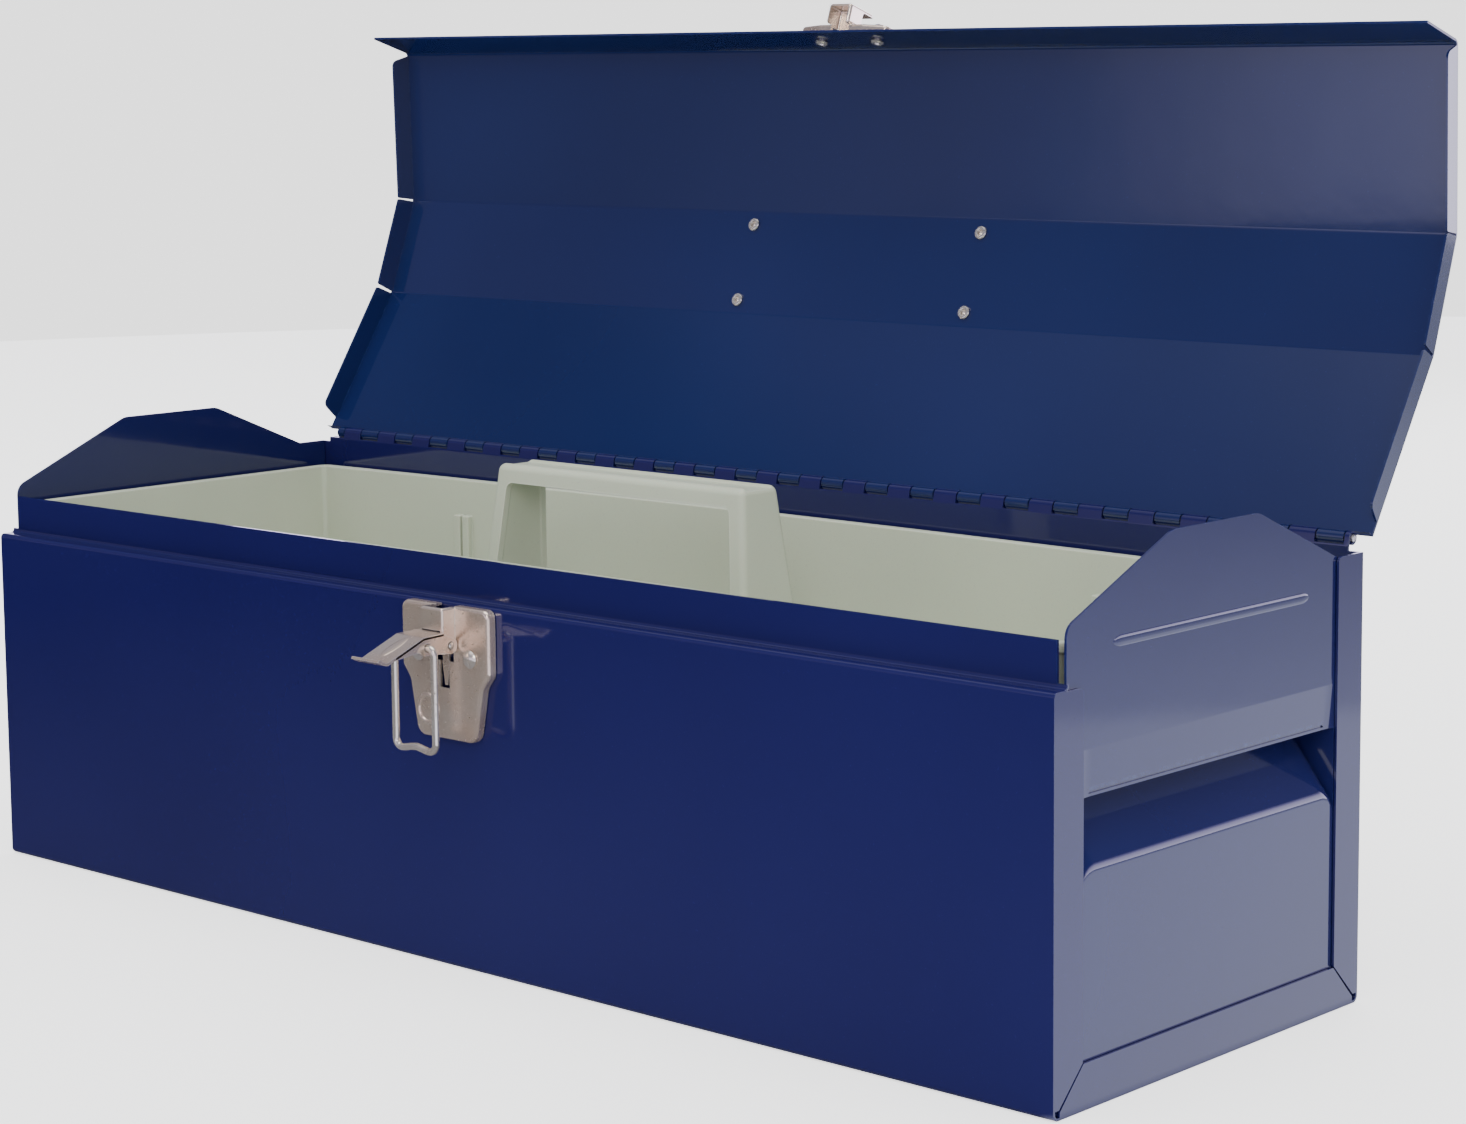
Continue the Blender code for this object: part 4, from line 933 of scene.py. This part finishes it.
def make_lever():
    """Finger lever: U-section arm, flat tongue with a rib, and a turned-up lip."""
    half, skin = 6.4 * MM, 0.9 * MM
    root = (HUMP_FRONT - GAP, 112.2 * MM)
    kink, tip, lip = mm((-96.0, 111.9), (-111.6, 105.8), (-114.8, 107.3))
    profile = fillet([lip, tip, kink, root], (0, 1.6 * MM, 2.0 * MM, 0), 7)
    strap = folded_sheet(profile, half, skin)
    strap.transform(Matrix.Translation((LATCH_X, 0, 0)))
    cheek = [(root[0], 111.9 * MM)] + mm((-96.0, 111.6), (-108.0, 106.9), (-107.6, 106.2),
                                         (-98.2, 107.4), (-96.4, 105.9), (-92.3, 105.9))
    cheek_radii = [r * MM for r in (0, 1.5, 0.3, 0.3, 1.5, 1.6, 1.5)]
    cheek = fillet(cheek, cheek_radii, 5, True)[:-6]
    cheek += [Vector((-92.0 * MM, 105.9 * MM))]
    cheek += arc((PIVOT.y, PIVOT.z), 2.7 * MM, -math.pi * 0.62, math.pi * 0.25, 16)
    sides = []
    for side in (-1, 1):
        low, high = sorted((LATCH_X + side * (half - skin), LATCH_X + side * half))
        sides.append(slab(cheek, low, high))
    lever = fuse(strap, *sides)
    across = Vector((8 * MM, 0, 0))
    holes = [rod(place - across, place + across, radius)
             for place, radius in ((PIVOT, 1.4 * MM), (LOOP_PIVOT, 1.5 * MM))]
    lever = rounded(cut(lever, joined(holes)), 0.24 * MM, 3, 45)
    lever = fuse(lever, lever_rib(kink, tip))
    piece("lever_pressed", lever, NICKEL, "lever", ["latch_lever"], 42)


def lever_rib(kink, tip):
    """A stiffening rib pressed up along the tongue."""
    start, stop = (Vector(kink).lerp(Vector(tip), share) for share in (0.06, 0.80))
    along = (stop - start).normalized()
    out = Vector((along.y, -along.x))
    sections = []
    for i in range(17):
        t = i / 16
        ease = max(0.03, math.sin(math.pi * t)) ** 0.45
        centre = start.lerp(stop, t) - out * 0.05 * MM
        ring = []
        for k in range(16):
            a = 2 * math.pi * k / 16
            place = centre + out * (0.32 * MM * math.sin(a) * ease)
            ring.append((LATCH_X + 2.3 * MM * math.cos(a) * ease, place.x, place.y))
        sections.append(ring)
    return loft(sections)


def make_loop():
    """Spring wire: ends turned into the lever, two legs and a crossbar dipped in the middle."""
    half, bottom, wire, bend = 9.3 * MM, -33.2 * MM, 1.2 * MM, 2.8 * MM
    shoulder = arc((half - 2.0 * MM, -2.0 * MM), 2.0 * MM, math.pi / 2, 0, 10)
    leg = [Vector((half, bottom * t)) for t in (0.3, 0.5, 0.7)]
    foot = arc((half - bend, bottom + bend), bend, 0, -math.pi / 2, 10)
    right = [Vector((4.4 * MM, 0))] + shoulder + leg + foot
    flat, dip = half - bend, 0.9 * MM
    middle = []
    for k in range(1, 12):
        u = flat * (1 - k / 6)
        middle.append(Vector((u, bottom + dip * (0.5 + 0.5 * math.cos(math.pi * u / flat)))))
    left = [Vector((-p.x, p.y)) for p in reversed(right)]
    path = [(LATCH_X + p.x, LOOP_PIVOT.y, LOOP_PIVOT.z + p.y) for p in right + middle + left]
    mesh = tube(path, [wire] * len(path), 20)
    mesh = rounded(mesh, 0.25 * MM, 2, 60)
    piece("loop_wire", mesh, BRIGHT, "loop", ["latch_loop"])


def make_latch():
    make_latch_base()
    for word, u in (("left", -LATCH_RIVET_X), ("right", LATCH_RIVET_X)):
        flange_rivet("latch_rivet_" + word, LATCH_X + u, -WIDE - 3.9 * MM, LATCH_RIVET_Z,
                     -WIDE + 1.1 * MM, "body")
    profile = mm((0, 7.0), (0.8, 6.95), (1.1, 6.7), (1.1, -6.7), (0.8, -6.95), (0, -7.0))
    piece("latch_pin_turned", turned(profile, PIVOT, (1, 0, 0)), BRIGHT, "body",
          ["latch_pivot_pin"])
    make_lever()
    make_loop()


# ---- tray

TRAY_FLOOR = 89.4 * MM
TRAY_TOP = 132.0 * MM
TRAY_WALL = 2.0 * MM
TRAY_BOW = 1.2 * MM


def tray_ring(inset, z, radius, bow):
    """A rounded rectangle round the tray at a height, crowned along its length by bow."""
    x, y0, y1 = 235.0 * MM - inset, -68.4 * MM + inset, 72.4 * MM - inset
    outline = fillet([(-x, y0), (x, y0), (x, y1), (-x, y1)], radius, 9, True)
    ring = []
    for i, p in enumerate(outline):
        ring.append(p)
        q = outline[(i + 1) % len(outline)]
        if (q - p).length > 100 * MM:
            ring += [p.lerp(q, k / 24) for k in range(1, 24)]
    return [(p.x, p.y, z + bow * max(0.0, 1 - (p.x / x) ** 2)) for p in ring]


def tray_shell():
    """Open tub with drafted walls and a rolled rim, as one skin from floor to floor."""
    lip, inside = 1.3 * MM, TRAY_FLOOR + TRAY_WALL
    outer = ((1.6 * MM, TRAY_FLOOR, 2.5), (0.5 * MM, TRAY_FLOOR + 0.5 * MM, 3.2),
             (0.1 * MM, TRAY_FLOOR + 1.8 * MM, 3.5))
    rim = ((0.0, -3.0, 3.5), (-lip + 0.2 * MM, -2.9, 4.4), (-lip, -2.6, 4.5), (-lip, -0.7, 4.5),
           (-lip + 0.5 * MM, -0.1, 4.0), (0.0, 0, 3.5), (TRAY_WALL - 0.5 * MM, -0.05, 2.2),
           (TRAY_WALL, -0.5, 1.9))
    inner = ((0.2 * MM, inside + 2 * MM, 1.8), (0.9 * MM, inside + 0.5 * MM, 1.5),
             (2.2 * MM, inside, 1.2))
    return loft([tray_ring(inset, z, radius * MM, 0.0) for inset, z, radius in outer]
                + [tray_ring(inset, TRAY_TOP + drop * MM, radius * MM, TRAY_BOW)
                   for inset, drop, radius in rim]
                + [tray_ring(TRAY_WALL + inset, z, radius * MM, 0.0)
                   for inset, z, radius in inner])


def make_tray():
    """Moulded tray: crowned rolled rim, drafted walls, divider ribs and an open grip."""
    floor, wall, band, draft = TRAY_FLOOR, TRAY_WALL, 5.4 * MM, 0.10
    x0, x1, y0, y1, high = -56.0 * MM, 59.0 * MM, -2.0 * MM, 15.5 * MM, 153.2 * MM
    grip = rounded(drafted((x0, y0, floor + MM), (x1, y1, high), draft), 2.4 * MM, 5, 50)
    hollow = drafted((x0 + band, y0 + wall, floor - 2 * MM),
                     (x1 - band, y1 - wall, high - wall), draft)
    window = drafted((x0 + band, y0 - 12 * MM, 99 * MM),
                     (x1 - band, y1 + 12 * MM, high - 6.2 * MM), draft)
    channel = block((x0 - 9 * MM, y0 + 2.4 * MM, high - 0.9 * MM),
                    (x1 + 9 * MM, y1 - 2.4 * MM, high + 6 * MM))
    mesh = fuse(tray_shell(), grip)
    mesh = cut(mesh, rounded(hollow, 1.0 * MM, 3, 50), rounded(window, 2.5 * MM, 5, 50),
               rounded(channel, 0.8 * MM, 4, 50))
    ribs = []
    for side in (-1, 1):
        for offset in (-1, 1):
            near = side * 151 * MM + offset * 0.6 * MM
            a, b = sorted((near, near + offset * 3.4 * MM))
            for wall_y, inward in ((-66.4 * MM, 1), (70.4 * MM, -1)):
                c, d = sorted((wall_y - inward * MM, wall_y + inward * 2.4 * MM))
                rib = block((a, c, floor + MM), (b, d, 119 * MM))
                ribs.append(rounded(rib, 0.5 * MM, 3, 60))
    mesh = rounded(fuse(mesh, joined(ribs)), 0.3 * MM, 2, 50)
    piece("tray_moulded", mesh, PLASTIC, "lift_out_tray", ["tray"], 40)


def drafted(low, high, draft):
    """A block whose sides spread outwards towards its foot."""
    mesh = block(low, high)
    middle = (Vector(low) + Vector(high)) / 2
    for vertex in mesh.vertices:
        lean = draft * (high[2] - vertex.co.z)
        vertex.co.x += math.copysign(lean, vertex.co.x - middle.x)
        vertex.co.y += math.copysign(lean, vertex.co.y - middle.y)
    return mesh


# ---- build

make_body()
make_end_plate("end_plate_left", -1)
make_end_plate("end_plate_right", 1)
make_hinge_wire()
make_lid()
make_handle()
make_strike()
make_latch()
make_tray()


# ---- stage, light and camera

WORLD_LIGHT = 1.3
BACKDROP = 2.7
FLOOR_LIFT = 1.5


def area_light(name, place, target, size, power, colour=(1, 1, 1)):
    light = bpy.data.lights.new(name, "AREA")
    light.shape = "RECTANGLE"
    light.size, light.size_y = size
    light.energy = power
    light.color = colour
    obj = placed(name, light)
    obj.location = place
    obj.rotation_euler = (Vector(target) - Vector(place)).to_track_quat("-Z", "Y").to_euler()


def make_floor():
    """Pale floor, lifted for the camera; reflections see only a painted glow: an emitting patch
    beside the box and a dim glow elsewhere.
    """
    disc = arc((0.2, 0.2), 2.6, 0, 2 * math.pi, 96)[:-1]
    floor_mesh = slab(disc, -0.01, 0.0, Matrix.Identity(4))
    obj = placed("floor", floor_mesh)
    paper = Nodes(bpy.data.materials.new("paper"))
    tone = paper.mix(paper.noise(3.0, 2.0), (0.88, 0.88, 0.88), (0.91, 0.91, 0.91))
    paper.shader.inputs["Roughness"].default_value = 0.9
    paper.surface(tone)
    split = paper.add("ShaderNodeSeparateXYZ")
    paper.link(paper.place, split.inputs[0])
    reach = paper.add("ShaderNodeVectorMath", operation="LENGTH")
    paper.link(paper.place, reach.inputs[0])
    # Painted reflection: for glossy rays the floor is an emitting glow, bright in a patch beside
    # the box and dim elsewhere.
    side = paper.ramp(split.outputs["X"], 0.0, 1.0, 0.236, 0.246)
    near = paper.ramp(reach.outputs["Value"], 0.55, 0.0, 0.66, 0.70)
    mid = paper.ramp(reach.outputs["Value"], 1.18, 0.62, 0.75, 1.35)
    glow_patch = paper.times(side, paper.plus(near, mid))
    dim = paper.ramp(reach.outputs["Value"], 0.16, 0.02, 0.15, 0.85)
    glow = paper.add("ShaderNodeEmission")
    paper.link(paper.plus(glow_patch, dim), glow.inputs["Strength"])
    glow.inputs["Color"].default_value = (0.90, 0.93, 1.12, 1.0)
    lift = paper.add("ShaderNodeEmission")
    lift.inputs["Strength"].default_value = FLOOR_LIFT
    seen = paper.add("ShaderNodeAddShader")
    paper.link(paper.shader.outputs[0], seen.inputs[0])
    paper.link(lift.outputs[0], seen.inputs[1])
    shown = paper.ray_switch("Is Camera Ray", paper.shader.outputs[0], seen.outputs[0])
    shown = paper.ray_switch("Is Glossy Ray", shown, glow.outputs[0])
    paper.link(shown, paper.tree.nodes["Material Output"].inputs["Surface"])
    floor_mesh.materials.append(paper.owner)


def make_world():
    """White light all round and a brighter backdrop; reflections see a dim room."""
    n = Nodes(bpy.data.worlds.new("studio"), "Generated")
    bpy.context.scene.world = n.owner
    white = n.tree.nodes["Background"]
    white.inputs["Color"].default_value = (0.96, 0.97, 1.0, 1.0)
    white.inputs["Strength"].default_value = WORLD_LIGHT
    split = n.add("ShaderNodeSeparateXYZ")
    n.link(n.place, split.inputs[0])
    across, along, height = split.outputs
    shades = n.ramp(n.noise(2.2, 1.0), 0.5, 2.0, 0.35, 0.65)
    backdrop_wall = n.times(n.ramp(along, 0.0, 20.0, 0.45, 0.62),
                            n.ramp(height, 1.0, 0.0, 0.25, 0.40))
    window_wall = n.times(n.ramp(across, 0.0, 6.0, -0.60, -0.50),
                          n.ramp(along, 1.0, 0.0, -0.30, -0.10))
    window_wall = n.times(window_wall, n.ramp(height, 1.0, 0.1, 0.20, 0.45))
    room = n.add("ShaderNodeBackground")
    strength = n.plus(n.plus(shades, backdrop_wall), window_wall)
    n.link(strength, room.inputs["Strength"])
    sky = n.add("ShaderNodeValToRGB")
    n.link(height, sky.inputs[0])
    n.link(sky.outputs["Color"], room.inputs["Color"])
    stops = sky.color_ramp.elements
    stops[0].position, stops[0].color = 0.0, (0.20, 0.19, 0.24, 1)
    stops[1].position, stops[1].color = 1.0, (0.9, 0.9, 0.92, 1)
    for position, colour in ((0.30, (0.10, 0.09, 0.13, 1)), (0.60, (0.06, 0.07, 0.12, 1)),
                             (0.82, (0.5, 0.5, 0.55, 1))):
        stops.new(position).color = colour
    backdrop = n.add("ShaderNodeBackground")
    backdrop.inputs["Strength"].default_value = BACKDROP
    shown = n.ray_switch("Is Camera Ray", white.outputs[0], backdrop.outputs[0])
    shown = n.ray_switch("Is Glossy Ray", shown, room.outputs[0])
    n.link(shown, n.tree.nodes["World Output"].inputs["Surface"])


make_floor()
make_world()

area_light("overhead", (0.15, -0.2, 1.7), (0, 0, 0.1), (1.3, 0.9), 9)
area_light("front_right", (1.3, -1.6, 1.2), (0, 0, 0.12), (0.5, 0.9), 12, (1.0, 0.98, 0.95))
area_light("behind", (-0.6, 1.6, 0.9), (0, 0, 0.15), (0.9, 0.7), 7)

# Fitted to the photograph: focal length and principal point in its pixels.
IMAGE_WIDTH, IMAGE_HEIGHT = 1466, 1124
FOCAL = 3300.8
PRINCIPAL_X, PRINCIPAL_Y = 744.42, 465.38
SENSOR = 36
CAMERA_PLACE = (0.77266, -0.78451, 0.29190)
AZ, EL, ROLL = math.radians(42.323), math.radians(7.035), math.radians(-0.52)
back = Vector((math.sin(AZ) * math.cos(EL), -math.cos(AZ) * math.cos(EL), math.sin(EL)))
right = Vector((math.cos(AZ), math.sin(AZ), 0))
up = back.cross(right)
level = right * math.cos(ROLL) + up * math.sin(ROLL)
upright = up * math.cos(ROLL) - right * math.sin(ROLL)
camera_data = bpy.data.cameras.new("camera")
camera_data.sensor_width = SENSOR
camera_data.lens = FOCAL * SENSOR / IMAGE_WIDTH
camera_data.shift_x = (IMAGE_WIDTH / 2 - PRINCIPAL_X) / IMAGE_WIDTH
camera_data.shift_y = (PRINCIPAL_Y - IMAGE_HEIGHT / 2) / IMAGE_WIDTH
camera_data.clip_start = 0.02
camera = placed("camera", camera_data)
turn = Matrix((level, upright, back)).transposed().to_4x4()
camera.matrix_world = Matrix.Translation(CAMERA_PLACE) @ turn
bpy.context.scene.camera = camera
